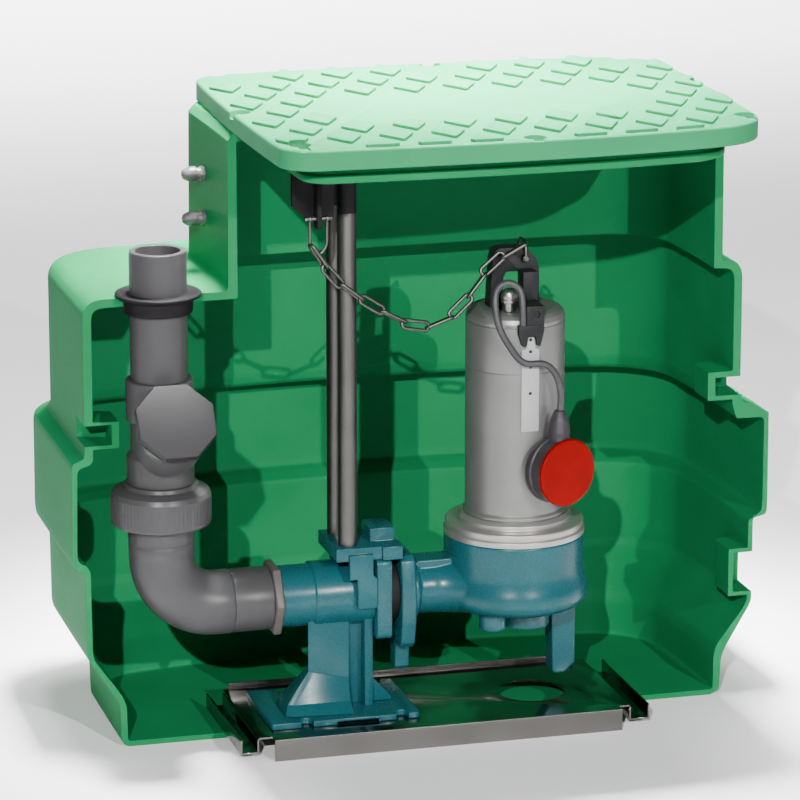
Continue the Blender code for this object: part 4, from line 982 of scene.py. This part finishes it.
def build_bracket(paint):
    bracket = block("coupling_bracket", -0.112, -0.0373, -0.041, 0.041, 0.2063, 0.2213)
    step = [(-0.098, 0.214), (-0.098, 0.186), (-0.0885, 0.186), (-0.0885, 0.152), (-0.0665, 0.152),
            (-0.0665, 0.186), (-0.071, 0.190), (-0.071, 0.214)]
    cheeks = [plate("cheek", step, "y", y0, y1) for y0, y1 in ((-0.046, -0.0385), (0.0385, 0.046))]
    hook = block("hook", -0.068, -0.040, -0.020, 0.020, 0.218, 0.236)
    nose = block("nose", -0.060, -0.0373, -0.046, 0.046, 0.2063, 0.2213)
    carve(bracket, "UNION", *cheeks, hook, nose)
    finish(soften(bracket, 1 * MM), paint, ("slide_bracket",))


# Guide tubes, their head and the lifting gear

def build_rails(steel):
    for name, y in (("guide_rail_front", -RAIL_Y), ("guide_rail_rear", RAIL_Y)):
        radius = 10.5 * MM
        rail = turned("tube_" + name, [
            (radius, 0.2213 + GAP), (radius, RAIL_END, 0.5 * MM), (radius - 2 * MM, RAIL_END),
            (radius - 2 * MM, 0.2213 + GAP)], (RAIL_X, y, 0), sides=64)
        finish(rail, steel, (name,))


def build_rail_head(coating):
    head = block("rail_head", -0.140, -0.0845, -0.036, 0.036, RAIL_TOP, RAIL_TOP + 6 * MM)
    plugs = [bar("plug", (RAIL_X, y, RAIL_END + GAP), (RAIL_X, y, RAIL_TOP + 2 * MM), 10.5 * MM, 64)
             for y in (-RAIL_Y, RAIL_Y)]
    gusset = plate("gusset", [(-0.1583, 0.646), (-0.1583, 0.609), (-0.1395, 0.5925), (-0.1117, 0.5925),
                              (-0.1117, 0.646)], "y", -0.034, -0.028)
    lug = plate("lug", [(-0.052, 0.642), (-0.033, 0.642), (-0.033, 0.586, 4 * MM), (-0.052, 0.586, 4 * MM)],
                "x", -0.1345, -0.1295)
    arm = block("arm", -0.138, -0.1125, 0.030, 0.1965, 0.6405, 0.6455)
    leaf = block("leaf", -0.1375, -0.113, 0.1905, 0.1965, 0.626, 0.645)
    carve(head, "UNION", *plugs, gusset, lug, arm, leaf)
    carve(head, "DIFFERENCE", bar("pin_hole", (-0.16, -0.045, 0.597), (-0.10, -0.045, 0.597), 2.6 * MM, 24))
    finish(soften(head, 0.6 * MM), coating, ("rail_head_bracket",))


def shackle(name, bow, pin_from, pin_to, steel, node):
    wire = 1.7 * MM
    body = sweep(name, smooth_path(bow, 0.002), wire, 20)
    flat = 1.6 * MM
    eyes = [turned("eye", [(0, -flat), (3.6 * MM, -flat, 0.8 * MM), (3.6 * MM, flat, 0.8 * MM), (0, flat)],
                   end, Vector(pin_to) - Vector(pin_from), 32) for end in (bow[0], bow[-1])]
    pin = bar("pin", pin_from, pin_to, 2.3 * MM, 32, 0.4 * MM)
    finish(merge(body, pin, *eyes), steel, (node,))


def build_shackles(steel):
    y = 14.5 * MM
    shackle("upper_shackle", [(-0.1415, -0.045, 0.597), (-0.1415, -0.045, 0.585), (-0.1405, -0.045, 0.567),
                              (-0.132, -0.045, 0.5575), (-0.1235, -0.045, 0.567), (-0.1225, -0.045, 0.585),
                              (-0.1225, -0.045, 0.597)],
            (-0.1475, -0.045, 0.597), (-0.1165, -0.045, 0.597), steel, "chain_shackle")
    shackle("lower_shackle", [(EYE_X, -y, EYE_Z), (EYE_X, -y, EYE_Z + 6 * MM), (EYE_X, -y + 2 * MM, 0.5458),
                              (EYE_X, -y + 7 * MM, 0.5494), (EYE_X, 0, 0.5502), (EYE_X, y - 7 * MM, 0.5494),
                              (EYE_X, y - 2 * MM, 0.5458), (EYE_X, y, EYE_Z + 6 * MM), (EYE_X, y, EYE_Z)],
            (EYE_X, -y - 3 * MM, EYE_Z), (EYE_X, y + 3 * MM, EYE_Z), steel, "handle_shackle")


# The same route as in the CAD
CHAIN_POINTS = (
    (-0.1320, -0.0450, 0.5552), (-0.1318, -0.0450, 0.5500), (-0.1225, -0.0438, 0.5385),
    (-0.1073, -0.0419, 0.5240), (-0.0934, -0.0402, 0.5115), (-0.0783, -0.0383, 0.5008),
    (-0.0631, -0.0365, 0.4914),
    (-0.0385, -0.0334, 0.4760), (-0.0232, -0.0315, 0.4690), (-0.0079, -0.0296, 0.4663),
    (0.0063, -0.0279, 0.4675), (0.0193, -0.0262, 0.4730), (0.0323, -0.0246, 0.4825),
    (0.0430, -0.0233, 0.4940), (0.0536, -0.0220, 0.5066), (0.0643, -0.0207, 0.5200),
    (0.0745, -0.0194, 0.5315), (0.0844, -0.0182, 0.5385), (0.0975, -0.0168, 0.5415),
    (0.1099, -0.0158, 0.5422),
)
# Roll of the first link about the chain, in radians
FIRST_TURN = -0.27


def build_chain(steel, chain):
    """Oval links on the route, alternately flat and edge on."""
    width = (chain.link_width - chain.wire) / 2
    straight = (chain.pitch + chain.wire) / 2 - width
    oval = []
    for k in range(32):
        a = 2 * math.pi * k / 32
        end = straight if math.cos(a) >= 0 else -straight
        oval.append((end + width * math.cos(a), width * math.sin(a), 0))
    link = sweep("link", oval, chain.wire / 2, 12, True)
    route = smooth_path(CHAIN_POINTS[:-1], 0.004)
    places = [(p, (0, 0, 0)) for p in route]
    line = points_piece("chain_links", places, [(i, i + 1) for i in range(len(route) - 1)])
    grow(line, chain_tree(), link=link, pitch=chain.pitch, first_turn=FIRST_TURN, material=steel)
    bpy.data.objects.remove(link, do_unlink=True)
    finish(line, steel, ("lifting_chain",))


# Tray under the pump

def build_tray(steel):
    deep = 93 * MM
    t = 2 * MM
    outline = [(-0.196, -deep), (0.205, -deep), (0.205, -0.081), (0.217, -0.081), (0.217, deep), (-0.211, deep),
               (-0.211, -0.081), (-0.196, -0.081)]
    tray = plate("tray_sheet", outline, "z", TRAY_TOP - t, TRAY_TOP)
    front = block("front", -0.196, 0.205, -deep, -deep + t, 0, TRAY_TOP)
    rear = block("rear", -0.205, 0.205, deep - t, deep, TRAY_TOP - t, 0.0325)
    carve(tray, "UNION", front, rear)
    carve(tray, "DIFFERENCE", bar("hole", (0.125, -0.002, 0), (0.125, -0.002, 0.05), 38 * MM, 96))
    finish(soften(tray, 0.6 * MM), steel, ("support_tray",))
    low = 6.3 * MM + GAP
    high = TRAY_TOP - t - GAP
    for name, inner, outer in (("tray_rail_left", -0.211, -0.232), ("tray_rail_right", 0.217, 0.241)):
        s = 1 if outer > inner else -1
        section = [(inner, low), (outer, low), (outer, 0.024), (outer - s * t, 0.024), (outer - s * t, low + t),
                   (inner + s * t, low + t), (inner + s * t, high), (inner, high)]
        finish(plate("channel_" + name, section, "y", -0.081, 0.088, 0.4 * MM), steel, (name,))


# Pump

# Outlet of the volute, from the flange to the casing, in mm: x, half width, half height
OUTLET = ((-20, 36, 36), (-15, 36, 36), (-11, 30, 30), (8, 30.5, 30), (22, 36, 30.5), (36, 46, 31),
          (52, 57, 31), (70, 66, 29), (92, 70, 26))


def build_volute(paint):
    x = PUMP_X
    curve = smooth_path([(r * MM, h, 0) for r, h in (
        (50, 0.131), (64, 0.1325), (73, 0.1345), (80, 0.139), (83.5, 0.1445), (84.3, 0.150), (83.5, 0.158),
        (81, 0.167), (79.3, 0.175), (78.8, 0.183), (78.8, 0.196))], 2 * MM)
    volute = turned("volute_casting", [(0, 0.131)] + [(p.x, p.y) for p in curve]
                    + [(78.8 * MM, VOLUTE_TOP, 1 * MM), (0, VOLUTE_TOP)], (x, 0, 0), sides=128)
    rows = [Vector(row) for row in OUTLET[:2]] + smooth_path(OUTLET[2:], 3)
    outlet = loft("outlet", [[Vector((row[0] * MM, row[1] * MM * math.cos(a), 0.1585 + row[2] * MM * math.sin(a)))
                              for a in [2 * math.pi * k / 96 for k in range(96)]] for row in rows])
    pad = block("pad", -0.012, 0.030, -0.016, 0.016, 0.180, 0.1935)
    stub = bar("stub", (x - 34 * MM, -32 * MM, 0.112), (x - 34 * MM, -32 * MM, 0.136), 15 * MM, 48)
    mouth = turned("mouth", [(19 * MM, 0.105), (27 * MM, 0.105), (27 * MM, 0.134), (19 * MM, 0.134)],
                   (x + 14 * MM, 0, 0), sides=64)
    leg = plate("leg", [(0.151, 0.141), (0.1535, 0.040, 3 * MM), (0.168, 0.040, 3 * MM), (0.181, 0.052, 4 * MM),
                        (0.1815, 0.145)], "y", 0.006, 0.034)
    keep = bar("keep", (x, 0, 0.03), (x, 0, 0.150), 76 * MM, 96)
    carve(leg, "INTERSECT", keep)
    carve(volute, "UNION", outlet, pad, stub, mouth, leg)
    finish(cast(volute, 1.3 * MM, 6), paint, ("pump_volute",), 60)


def build_motor(ring_finish, casing_finish):
    x = PUMP_X
    top = VOLUTE_TOP
    ring = turned("motor_seat_ring", [
        (0, top + GAP), (79.3 * MM, top + GAP, 0.6 * MM), (79.3 * MM, top + 6.6 * MM, 0.8 * MM),
        (77.4 * MM, top + 7.3 * MM, 0.2 * MM), (76.6 * MM, top + 7.8 * MM, 0.2 * MM),
        (76.6 * MM, top + 8.8 * MM, 0.2 * MM), (77.8 * MM, top + 9.4 * MM, 0.3 * MM),
        (77.8 * MM, top + 14.5 * MM, 1 * MM), (76.3 * MM, top + 16 * MM, 1 * MM),
        (64 * MM, top + 16 * MM, 1 * MM), (64 * MM, top + 21 * MM, 1 * MM), (60 * MM, top + 25 * MM, 1 * MM),
        (0, top + 25 * MM)], (x, 0, 0))
    finish(ring, ring_finish, ("pump_flange_ring",))
    seam = 0.5 * MM
    low = top + 25 * MM + GAP
    casing = turned("motor_shell", [
        (0, low), (57.5 * MM, low), (57.5 * MM, low + 2.7 * MM, 0.8 * MM), (MOTOR_R, low + 5.7 * MM, 0.8 * MM),
        (MOTOR_R, 0.409, 0.3 * MM), (MOTOR_R - seam, 0.4095), (MOTOR_R, 0.410, 0.3 * MM),
        (MOTOR_R, CASING_TOP, 0.5 * MM), (0, CASING_TOP)], (x, 0, 0), sides=128)
    finish(casing, casing_finish, ("motor_casing",))
    head = turned("motor_cap", [
        (0, CASING_TOP + GAP), (MOTOR_R, CASING_TOP + GAP, 0.5 * MM), (MOTOR_R, 0.4655, 2 * MM),
        (54 * MM, 0.4705, 4 * MM), (50.5 * MM, 0.4742, 4 * MM), (45 * MM, 0.4764, 4 * MM),
        (38 * MM, HEAD_TOP, 3 * MM), (0, HEAD_TOP)], (x, 0, 0), sides=128, steps=6)
    finish(head, casing_finish, ("motor_head",))


def motor_clearance(low, high):
    return bar("motor_clearance", (PUMP_X, 0, low), (PUMP_X, 0, high), MOTOR_R + GAP, 96)


def build_handle(nylon):
    seat = HEAD_TOP + GAP
    outline = [(0.072, seat), (0.086, seat), (0.0875, 0.510, 3 * MM), (0.0905, 0.5165, 3 * MM),
               (0.1055, 0.5165, 3 * MM), (0.110, 0.511, 3 * MM), (0.1115, seat), (0.129, seat),
               (0.1285, 0.520, 3 * MM), (0.1255, 0.530, 3 * MM), (0.1175, 0.5385, 3 * MM), (0.108, 0.543, 3 * MM),
               (0.083, 0.543, 4 * MM), (0.0775, 0.540, 4 * MM), (0.075, 0.530, 3 * MM)]
    handle = plate("handle", outline, "y", -10 * MM, 10 * MM)
    post = block("post", 0.1045, 0.1210, -0.030, -9 * MM, seat, 0.5193)
    carve(handle, "UNION", post)
    carve(handle, "DIFFERENCE", bar("eye", (EYE_X, -0.04, EYE_Z), (EYE_X, 0.04, EYE_Z), 4 * MM, 32))
    finish(soften(handle, 1 * MM), nylon, ("lifting_handle",))


def build_pump_fittings(gland, nylon, strip_finish):
    seat = HEAD_TOP + GAP
    nut = turned("cable_gland", [
        (0, 0), (6.5 * MM, 0, 0.4 * MM), (6.5 * MM, 9.6 * MM, 0.6 * MM), (9.6 * MM, 10.2 * MM, 0.5 * MM),
        (9.6 * MM, 13.4 * MM, 0.4 * MM), (8.9 * MM, 13.8 * MM), (8.9 * MM, 14.5 * MM), (9.8 * MM, 15 * MM, 0.5 * MM),
        (9.8 * MM, 18 * MM, 2 * MM), (8.8 * MM, 22 * MM, 3 * MM), (5.5 * MM, 25 * MM, 4 * MM), (0, 26 * MM)],
        (0.0884, -0.031, seat), (0, 0, 1), 48)
    finish(nut, gland, ("gland_nut",))
    front = -62 * MM
    top = 466.6 * MM
    box = block("junction_box", 0.099, 0.119, front, -0.0305, top + GAP, 0.488)
    carve(box, "DIFFERENCE", motor_clearance(0.44, seat),
          bar("port", (0.1105, front - 0.01, 0.4785), (0.1105, front + 0.003, 0.4785), 4 * MM, 32))
    finish(soften(box, 0.8 * MM), nylon, ("terminal_block",))
    outline = [(0.0905, top), (0.0905, 0.456, 2 * MM), (0.0945, 0.443, 1.5 * MM), (0.099, 0.443, 1.5 * MM),
               (0.101, 0.454, 1 * MM), (0.110, 0.454, 1 * MM), (0.1115, 0.443, 1.5 * MM), (0.115, 0.443, 1.5 * MM),
               (0.119, 0.460, 2 * MM), (0.119, top)]
    clamp = plate("clamp", outline, "y", front, -0.045)
    carve(clamp, "DIFFERENCE", motor_clearance(0.42, 0.48))
    finish(soften(clamp, 0.7 * MM), nylon, ("cable_clamp",))
    face = -57.2 * MM
    strip = plate("marker_strip", [
        (0.095, 0.345), (0.115, 0.345), (0.115, 0.4385), (0.111, 0.4395), (0.109, 0.4525), (0.102, 0.4525),
        (0.100, 0.4395), (0.095, 0.4385)], "y", face, -0.050)
    carve(strip, "DIFFERENCE", motor_clearance(0.33, 0.47))
    finish(soften(strip, 0.3 * MM), strip_finish, ("level_strip",))
    # Dark nylon discs on the strip's face stand for the shade in its holes: painted shade
    rivet = turned("rivet", [(0, -1 * MM), (1.9 * MM, -1 * MM), (1.9 * MM, 0.2 * MM, 0.2 * MM), (0, 0.3 * MM)],
                   sides=24)
    hole_spots = [(Vector((0.105, face, z)), (math.pi / 2, 0, 0)) for z in (0.4495, 0.436, 0.4185, 0.3885)]
    finish(copy_on("strip_rivets", rivet, hole_spots, nylon), nylon)


# Float and its cable

# The same route as in the CAD
CABLE_POINTS = (
    (0.0948, -0.0600, 0.4671), (0.0949, -0.0600, 0.4745), (0.0951, -0.0592, 0.4825),
    (0.0952, -0.0575, 0.4905), (0.0950, -0.0555, 0.4985), (0.0930, -0.0532, 0.5060),
    (0.0875, -0.0510, 0.5115), (0.0800, -0.0500, 0.5135), (0.0725, -0.0506, 0.5115),
    (0.0670, -0.0526, 0.5060), (0.0647, -0.0554, 0.4985), (0.0640, -0.0582, 0.4898),
    (0.0650, -0.0612, 0.4765), (0.0680, -0.0638, 0.4650), (0.0726, -0.0655, 0.4550),
    (0.0786, -0.0660, 0.4450), (0.0850, -0.0660, 0.4358), (0.0913, -0.0660, 0.4288),
    (0.0980, -0.0660, 0.4252), (0.1050, -0.0660, 0.4244), (0.1115, -0.0660, 0.4244),
    (0.1180, -0.0660, 0.4232), (0.1240, -0.0660, 0.4198), (0.1292, -0.0660, 0.4140),
    (0.1332, -0.0660, 0.4068), (0.1361, -0.0658, 0.3982), (0.1378, -0.0653, 0.3888),
    (0.1383, -0.0645, 0.3798), (0.1374, -0.0636, 0.3694),
)
# Way that the float's lid faces, and how far it hangs to the side of that
FLOAT_FACING = Vector((0.368, -0.930, 0))
FLOAT_ASIDE = 5.2 * MM
FLOAT_Z = 301 * MM


def build_float(red, dark, rubber, sizes):
    normal = FLOAT_FACING.normalized()
    across = Vector((-normal.y, normal.x, 0))
    radius, depth = sizes.radius, sizes.depth
    face = Vector((PUMP_X, 0, FLOAT_Z)) + normal * (MOTOR_R + GAP + depth) + across * FLOAT_ASIDE
    cap = turned("float_lid", [(0, -4.7 * MM), (radius, -4.7 * MM, 0.5 * MM), (radius, -0.6 * MM, 2 * MM),
                               (radius - 3 * MM, 0, 3 * MM), (0, 0)], face, normal, 96, 6)
    finish(cap, red, ("float_cap",))
    drum = turned("float_drum", [
        (0, -depth), (32 * MM, -depth, 3 * MM), (37 * MM, 3 * MM - depth, 3 * MM), (radius, 7 * MM - depth, 2 * MM),
        (radius, -22 * MM, 1 * MM), (36 * MM, -21 * MM, 1 * MM), (36 * MM, -5 * MM), (0, -5 * MM)], face, normal, 96)
    neck = turned("neck", [(0, 0.020), (12.6 * MM, 0.020), (12.4 * MM, 0.044, 8 * MM), (10 * MM, 0.058, 12 * MM),
                           (5.6 * MM, 0.068, 1.5 * MM), (0, 0.068)], face - normal * 0.018, (0.02, 0.02, 1), 64)
    carve(drum, "UNION", neck)
    finish(soften(drum, 0.8 * MM), dark, ("float_body",))

    cable = sweep("float_lead", smooth_path(CABLE_POINTS, 2.5 * MM), sizes.cable / 2, 24)
    finish(cable, rubber, ("float_cable",))


# Finishes

def make_finishes(colours):
    """One material for each real finish, and a darkened copy of the pipe's PVC as painted shade on the valve's cap;
    grains under a millimetre or so are drawn coarse enough to show.
    """
    return {
        # Rotationally moulded polyethylene: satin, a little cloudy, with a fine orange peel
        "polyethylene": surface("rotomoulded_polyethylene", (colours.tank, colours.tank_cloud), 120, 2.2, 0.02,
                                0.52, shine=0.03),
        # The lid is moulded from the same plastic, with a tighter skin
        "lid": surface("moulded_polyethylene_lid", (colours.lid, colours.lid_cloud), 100, 1.6, 0.015, 0.48,
                       shine=0.06),
        # Grey pressure pipe: extruded and injection moulded PVC with a smooth, slightly waxy skin
        "pvc": surface("grey_pvc", (colours.pipe, colours.pipe_cloud), 60, 1.2, 0.008, 0.36, shine=0.25),
        # The adapter's nut is moulded from a browner batch of the same plastic
        "pvc_nut": surface("brown_grey_pvc", ("#4A4544", "#504B49"), 40, 1.2, 0.01, 0.42, shine=0.3),
        # The valve's cap is the pipe's grey PVC darkened nearly to black, as painted shade on its tilted face, and a
        # little duller than the pipe
        "pvc_cap": surface("dark_grey_pvc", ("#1F1E1F", "#222122"), 60, 1.2, 0.008, 0.4, shine=0.15),
        # Nitrile rubber: dark, dull and even
        "rubber": surface("nitrile_rubber", ("#121013", "#171517"), 30, 0.8, 0.02, 0.6, shine=0.12),
        # Cast iron under sprayed enamel: the paint softens the sand-cast skin to a light orange peel
        "enamel": surface("enamelled_cast_iron", (colours.enamel, colours.enamel_cloud), 50, 1.8, 0.02, 0.28,
                          shine=0.3),
        # Drawn stainless tube, brushed round its length: fine lines along the tube
        "tube": surface("drawn_stainless_tube", ("#5E5D5A", "#585754"), 50, 1, 0.006, 0.42,
                        metallic=1.0, stretch=(1, 1, 0.02)),
        # Bright rolled stainless sheet: mirror-like with a soft rolling grain
        "sheet": surface("rolled_stainless_sheet", ("#83807D", "#7B7875"), 80, 1, 0.006, 0.16,
                         metallic=1.0, stretch=(0.03, 1, 1)),
        # Bead-blasted stainless shell: pale and silky
        "shell": surface("blasted_stainless_shell", ("#7C7C7B", "#767675"), 60, 0.7, 0.012, 0.38,
                         metallic=0.65),
        # Turned aluminium: bright, with fine tool marks that soften its shine
        "ring": surface("turned_aluminium", ("#A9A6A3", "#B0ADAA"), 40, 0.8, 0.01, 0.36,
                        metallic=0.8),
        # Black powder coat on steel plate
        "coating": surface("powder_coated_steel", ("#0F0E10", "#151416"), 30, 0.9, 0.03, 0.5, shine=0.12),
        # Glass-filled nylon: dull and dark
        "nylon": surface("glass_filled_nylon", ("#161718", "#1B1C1D"), 30, 0.6, 0.02, 0.45, shine=0.2),
        # Plain moulded nylon: mid grey with a soft gloss
        "gland": surface("grey_nylon", ("#484747", "#4F4E4E"), 20, 0.6, 0.01, 0.35),
        # Nickel-plated brass: pale, warm and bright
        "gland_metal": surface("nickel_plated_brass", ("#A8A6A2", "#9E9C98"), 20, 0.6, 0.004, 0.38,
                               metallic=1.0),
        # Acetal: pale, smooth and even
        "strip": surface("pale_acetal", ("#929293", "#989899"), 30, 0.6, 0.006, 0.35, shine=0.3),
        # The float's lid is moulded polypropylene: one deep colour with a satin skin
        "red": surface("red_polypropylene", (colours.float_cap, colours.float_cloud), 30, 1, 0.012, 0.4, shine=0.06),
        # The float's drum is the same plastic in a dark grey, left a little glossier
        "dark": surface("dark_polypropylene", ("#2B282C", "#302D32"), 30, 0.8, 0.015, 0.45, shine=0.3),
        # Extruded rubber sheath: dark grey and slightly shiny where it is drawn smooth
        "cable": surface("rubber_sheath", ("#323134", "#38373A"), 20, 0.7, 0.02, 0.45, shine=0.4),
    }


FINISHES = {}


# Stage

# Place, aim, sides in metres, spread in degrees and power in watts. The two small ones far in front throw the
# sharp shadows on the tank's back wall, and the others brighten what faces up
LIGHTS = (
    ("left_front_light", (-3.15, -7.85, 4.15), (0, 0, 0.35), (0.09, 0.09), 180, 1010),
    ("right_front_light", (2.03, -8.2, 3.72), (0, 0, 0.35), (0.09, 0.09), 180, 700),
    ("top_light", (0.1, 0.5, 3.3), (0.05, 0.05, 0), (1.3, 1.3), 180, 200),
    ("lid_light", (0.04, 0.1, 2.4), (0.04, 0.1, 0.7), (0.5, 0.5), 30, 34),
    ("backdrop_light", (0.9, 5.4, 3.4), (0.9, 5.4, 0), (4.0, 3.5), 60, 330),
)
SKY_STRENGTH = 0.1
FLOOR_HALF = 6.0
# Long lens from in front, above and left of the cut face, as the photograph was made
CAMERA_SPOT = (-1.30357, -4.66276, 1.63457)
CAMERA_TURN = (75.25, 0, -15.43)
CAMERA_LENS = 200.97
CAMERA_SENSOR = 36


def build_stage():
    paper = surface("studio_paper", ("#F2F2F2", "#F4F4F4"), 300, 3, 0.01, 0.8)
    half = FLOOR_HALF
    floor = solid("studio_floor", [(-half, -half, 0), (half, -half, 0), (half, half, 0), (-half, half, 0)],
                  [(0, 1, 2, 3)])
    floor.data.materials.append(paper)

    world = bpy.data.worlds.new("studio")
    bpy.context.scene.world = world
    world.use_nodes = True
    world.node_tree.nodes["Background"].inputs["Color"].default_value = (1, 1, 1, 1)
    world.node_tree.nodes["Background"].inputs["Strength"].default_value = SKY_STRENGTH

    for name, spot, target, size, spread, power in LIGHTS:
        light = bpy.data.lights.new(name, "AREA")
        light.shape = "RECTANGLE"
        light.size, light.size_y = size
        light.spread = math.radians(spread)
        light.energy = power
        lamp = bpy.data.objects.new(name, light)
        lamp.location = spot
        lamp.rotation_euler = (Vector(target) - Vector(spot)).to_track_quat("-Z", "Y").to_euler()
        bpy.context.scene.collection.objects.link(lamp)

    camera = bpy.data.cameras.new("camera")
    camera.lens = CAMERA_LENS
    camera.sensor_width = CAMERA_SENSOR
    holder = bpy.data.objects.new("camera", camera)
    holder.location = CAMERA_SPOT
    holder.rotation_euler = [math.radians(angle) for angle in CAMERA_TURN]
    bpy.context.scene.collection.objects.link(holder)
    bpy.context.scene.camera = holder


# Operators: one for the finishes, one for each group of pieces and one for the stage

class LIFT_OT_finishes(bpy.types.Operator):
    """Mix the finishes in the colours that are set"""
    bl_idname = "lift_station.finishes"
    bl_label = "Finishes"

    def execute(self, context):
        FINISHES.update(make_finishes(context.scene.lift_colours))
        return {"FINISHED"}


class LIFT_OT_tank(bpy.types.Operator):
    """Build the moulded tank, cut on its middle plane"""
    bl_idname = "lift_station.tank"
    bl_label = "Tank"

    def execute(self, context):
        build_tank(FINISHES["polyethylene"], context.scene.lift_tank)
        return {"FINISHED"}


class LIFT_OT_lid(bpy.types.Operator):
    """Build the tread lid, its pads, screws and inner lip"""
    bl_idname = "lift_station.lid"
    bl_label = "Lid"

    def execute(self, context):
        lid = context.scene.lift_lid
        build_lid(FINISHES["lid"], lid)
        build_lid_pads(FINISHES["lid"], lid)
        # The screws and their discs take the tank's darker plastic as painted shade in the pockets
        build_lid_screws(FINISHES["polyethylene"], lid)
        build_lid_lip(FINISHES["polyethylene"])
        return {"FINISHED"}


class LIFT_OT_glands(bpy.types.Operator):
    """Build the two cable glands in the side of the neck"""
    bl_idname = "lift_station.glands"
    bl_label = "Cable Glands"

    def execute(self, context):
        build_glands(FINISHES["gland"])
        return {"FINISHED"}


class LIFT_OT_discharge(bpy.types.Operator):
    """Build the riser, its seal, the check valve, the union and the elbow"""
    bl_idname = "lift_station.discharge"
    bl_label = "Discharge Line"

    def execute(self, context):
        build_riser(FINISHES["pvc"], FINISHES["rubber"])
        build_valve(FINISHES["pvc"], FINISHES["pvc_cap"])
        build_union(FINISHES["pvc"], context.scene.lift_discharge)
        build_elbow(FINISHES["pvc"], FINISHES["pvc_nut"])
        return {"FINISHED"}


class LIFT_OT_foot(bpy.types.Operator):
    """Build the cast coupling foot, its plate, flanges and bracket"""
    bl_idname = "lift_station.foot"
    bl_label = "Coupling Foot"

    def execute(self, context):
        build_foot(FINISHES["enamel"])
        build_base_plate(FINISHES["enamel"])
        build_flanges(FINISHES["enamel"], FINISHES["rubber"])
        build_bracket(FINISHES["enamel"])
        return {"FINISHED"}


class LIFT_OT_guides(bpy.types.Operator):
    """Build the guide tubes and their head"""
    bl_idname = "lift_station.guides"
    bl_label = "Guide Tubes"

    def execute(self, context):
        build_rails(FINISHES["tube"])
        build_rail_head(FINISHES["coating"])
        return {"FINISHED"}


class LIFT_OT_chain(bpy.types.Operator):
    """Build the lifting chain and its two shackles"""
    bl_idname = "lift_station.chain"
    bl_label = "Lifting Chain"

    def execute(self, context):
        build_shackles(FINISHES["tube"])
        build_chain(FINISHES["tube"], context.scene.lift_chain)
        return {"FINISHED"}


class LIFT_OT_tray(bpy.types.Operator):
    """Build the folded tray and the channels at its ends"""
    bl_idname = "lift_station.tray"
    bl_label = "Tray"

    def execute(self, context):
        build_tray(FINISHES["sheet"])
        return {"FINISHED"}


class LIFT_OT_pump(bpy.types.Operator):
    """Build the pump's casting, motor and head"""
    bl_idname = "lift_station.pump"
    bl_label = "Pump"

    def execute(self, context):
        build_volute(FINISHES["enamel"])
        build_motor(FINISHES["ring"], FINISHES["shell"])
        return {"FINISHED"}


class LIFT_OT_pump_top(bpy.types.Operator):
    """Build the handle, gland, box, clamp and strip on the motor"""
    bl_idname = "lift_station.pump_top"
    bl_label = "Pump Top"

    def execute(self, context):
        build_handle(FINISHES["nylon"])
        build_pump_fittings(FINISHES["gland_metal"], FINISHES["nylon"], FINISHES["strip"])
        return {"FINISHED"}


class LIFT_OT_float(bpy.types.Operator):
    """Build the float switch and its cable"""
    bl_idname = "lift_station.float"
    bl_label = "Float Switch"

    def execute(self, context):
        build_float(FINISHES["red"], FINISHES["dark"], FINISHES["cable"], context.scene.lift_float)
        return {"FINISHED"}


class LIFT_OT_stage(bpy.types.Operator):
    """Set up the pale floor, the studio lights and the camera"""
    bl_idname = "lift_station.stage"
    bl_label = "Stage"

    def execute(self, context):
        build_stage()
        return {"FINISHED"}


OPERATORS = (LIFT_OT_finishes, LIFT_OT_tank, LIFT_OT_lid, LIFT_OT_glands, LIFT_OT_discharge, LIFT_OT_foot,
             LIFT_OT_guides, LIFT_OT_chain, LIFT_OT_tray, LIFT_OT_pump, LIFT_OT_pump_top, LIFT_OT_float,
             LIFT_OT_stage)


class LIFT_PT_panel(bpy.types.Panel):
    """Settings and pieces of the lift station"""
    bl_idname = "LIFT_PT_panel"
    bl_label = "Lift Station"
    bl_space_type = "VIEW_3D"
    bl_region_type = "UI"
    bl_category = "Lift Station"

    def draw(self, context):
        for name, group in GROUPS.items():
            box = self.layout.box()
            box.label(text=group.__doc__)
            for key in group.__annotations__:
                box.prop(getattr(context.scene, name), key)
        for operator in OPERATORS:
            self.layout.operator(operator.bl_idname)


def register():
    for cls in tuple(GROUPS.values()) + OPERATORS + (LIFT_PT_panel,):
        bpy.utils.register_class(cls)
    for name, group in GROUPS.items():
        setattr(bpy.types.Scene, name, bpy.props.PointerProperty(type=group))


def unregister():
    for name in GROUPS:
        delattr(bpy.types.Scene, name)
    for cls in reversed(tuple(GROUPS.values()) + OPERATORS + (LIFT_PT_panel,)):
        bpy.utils.unregister_class(cls)


def main():
    register()
    for operator in OPERATORS:
        group, call = operator.bl_idname.split(".")
        getattr(getattr(bpy.ops, group), call)()


if __name__ == "__main__":
    main()
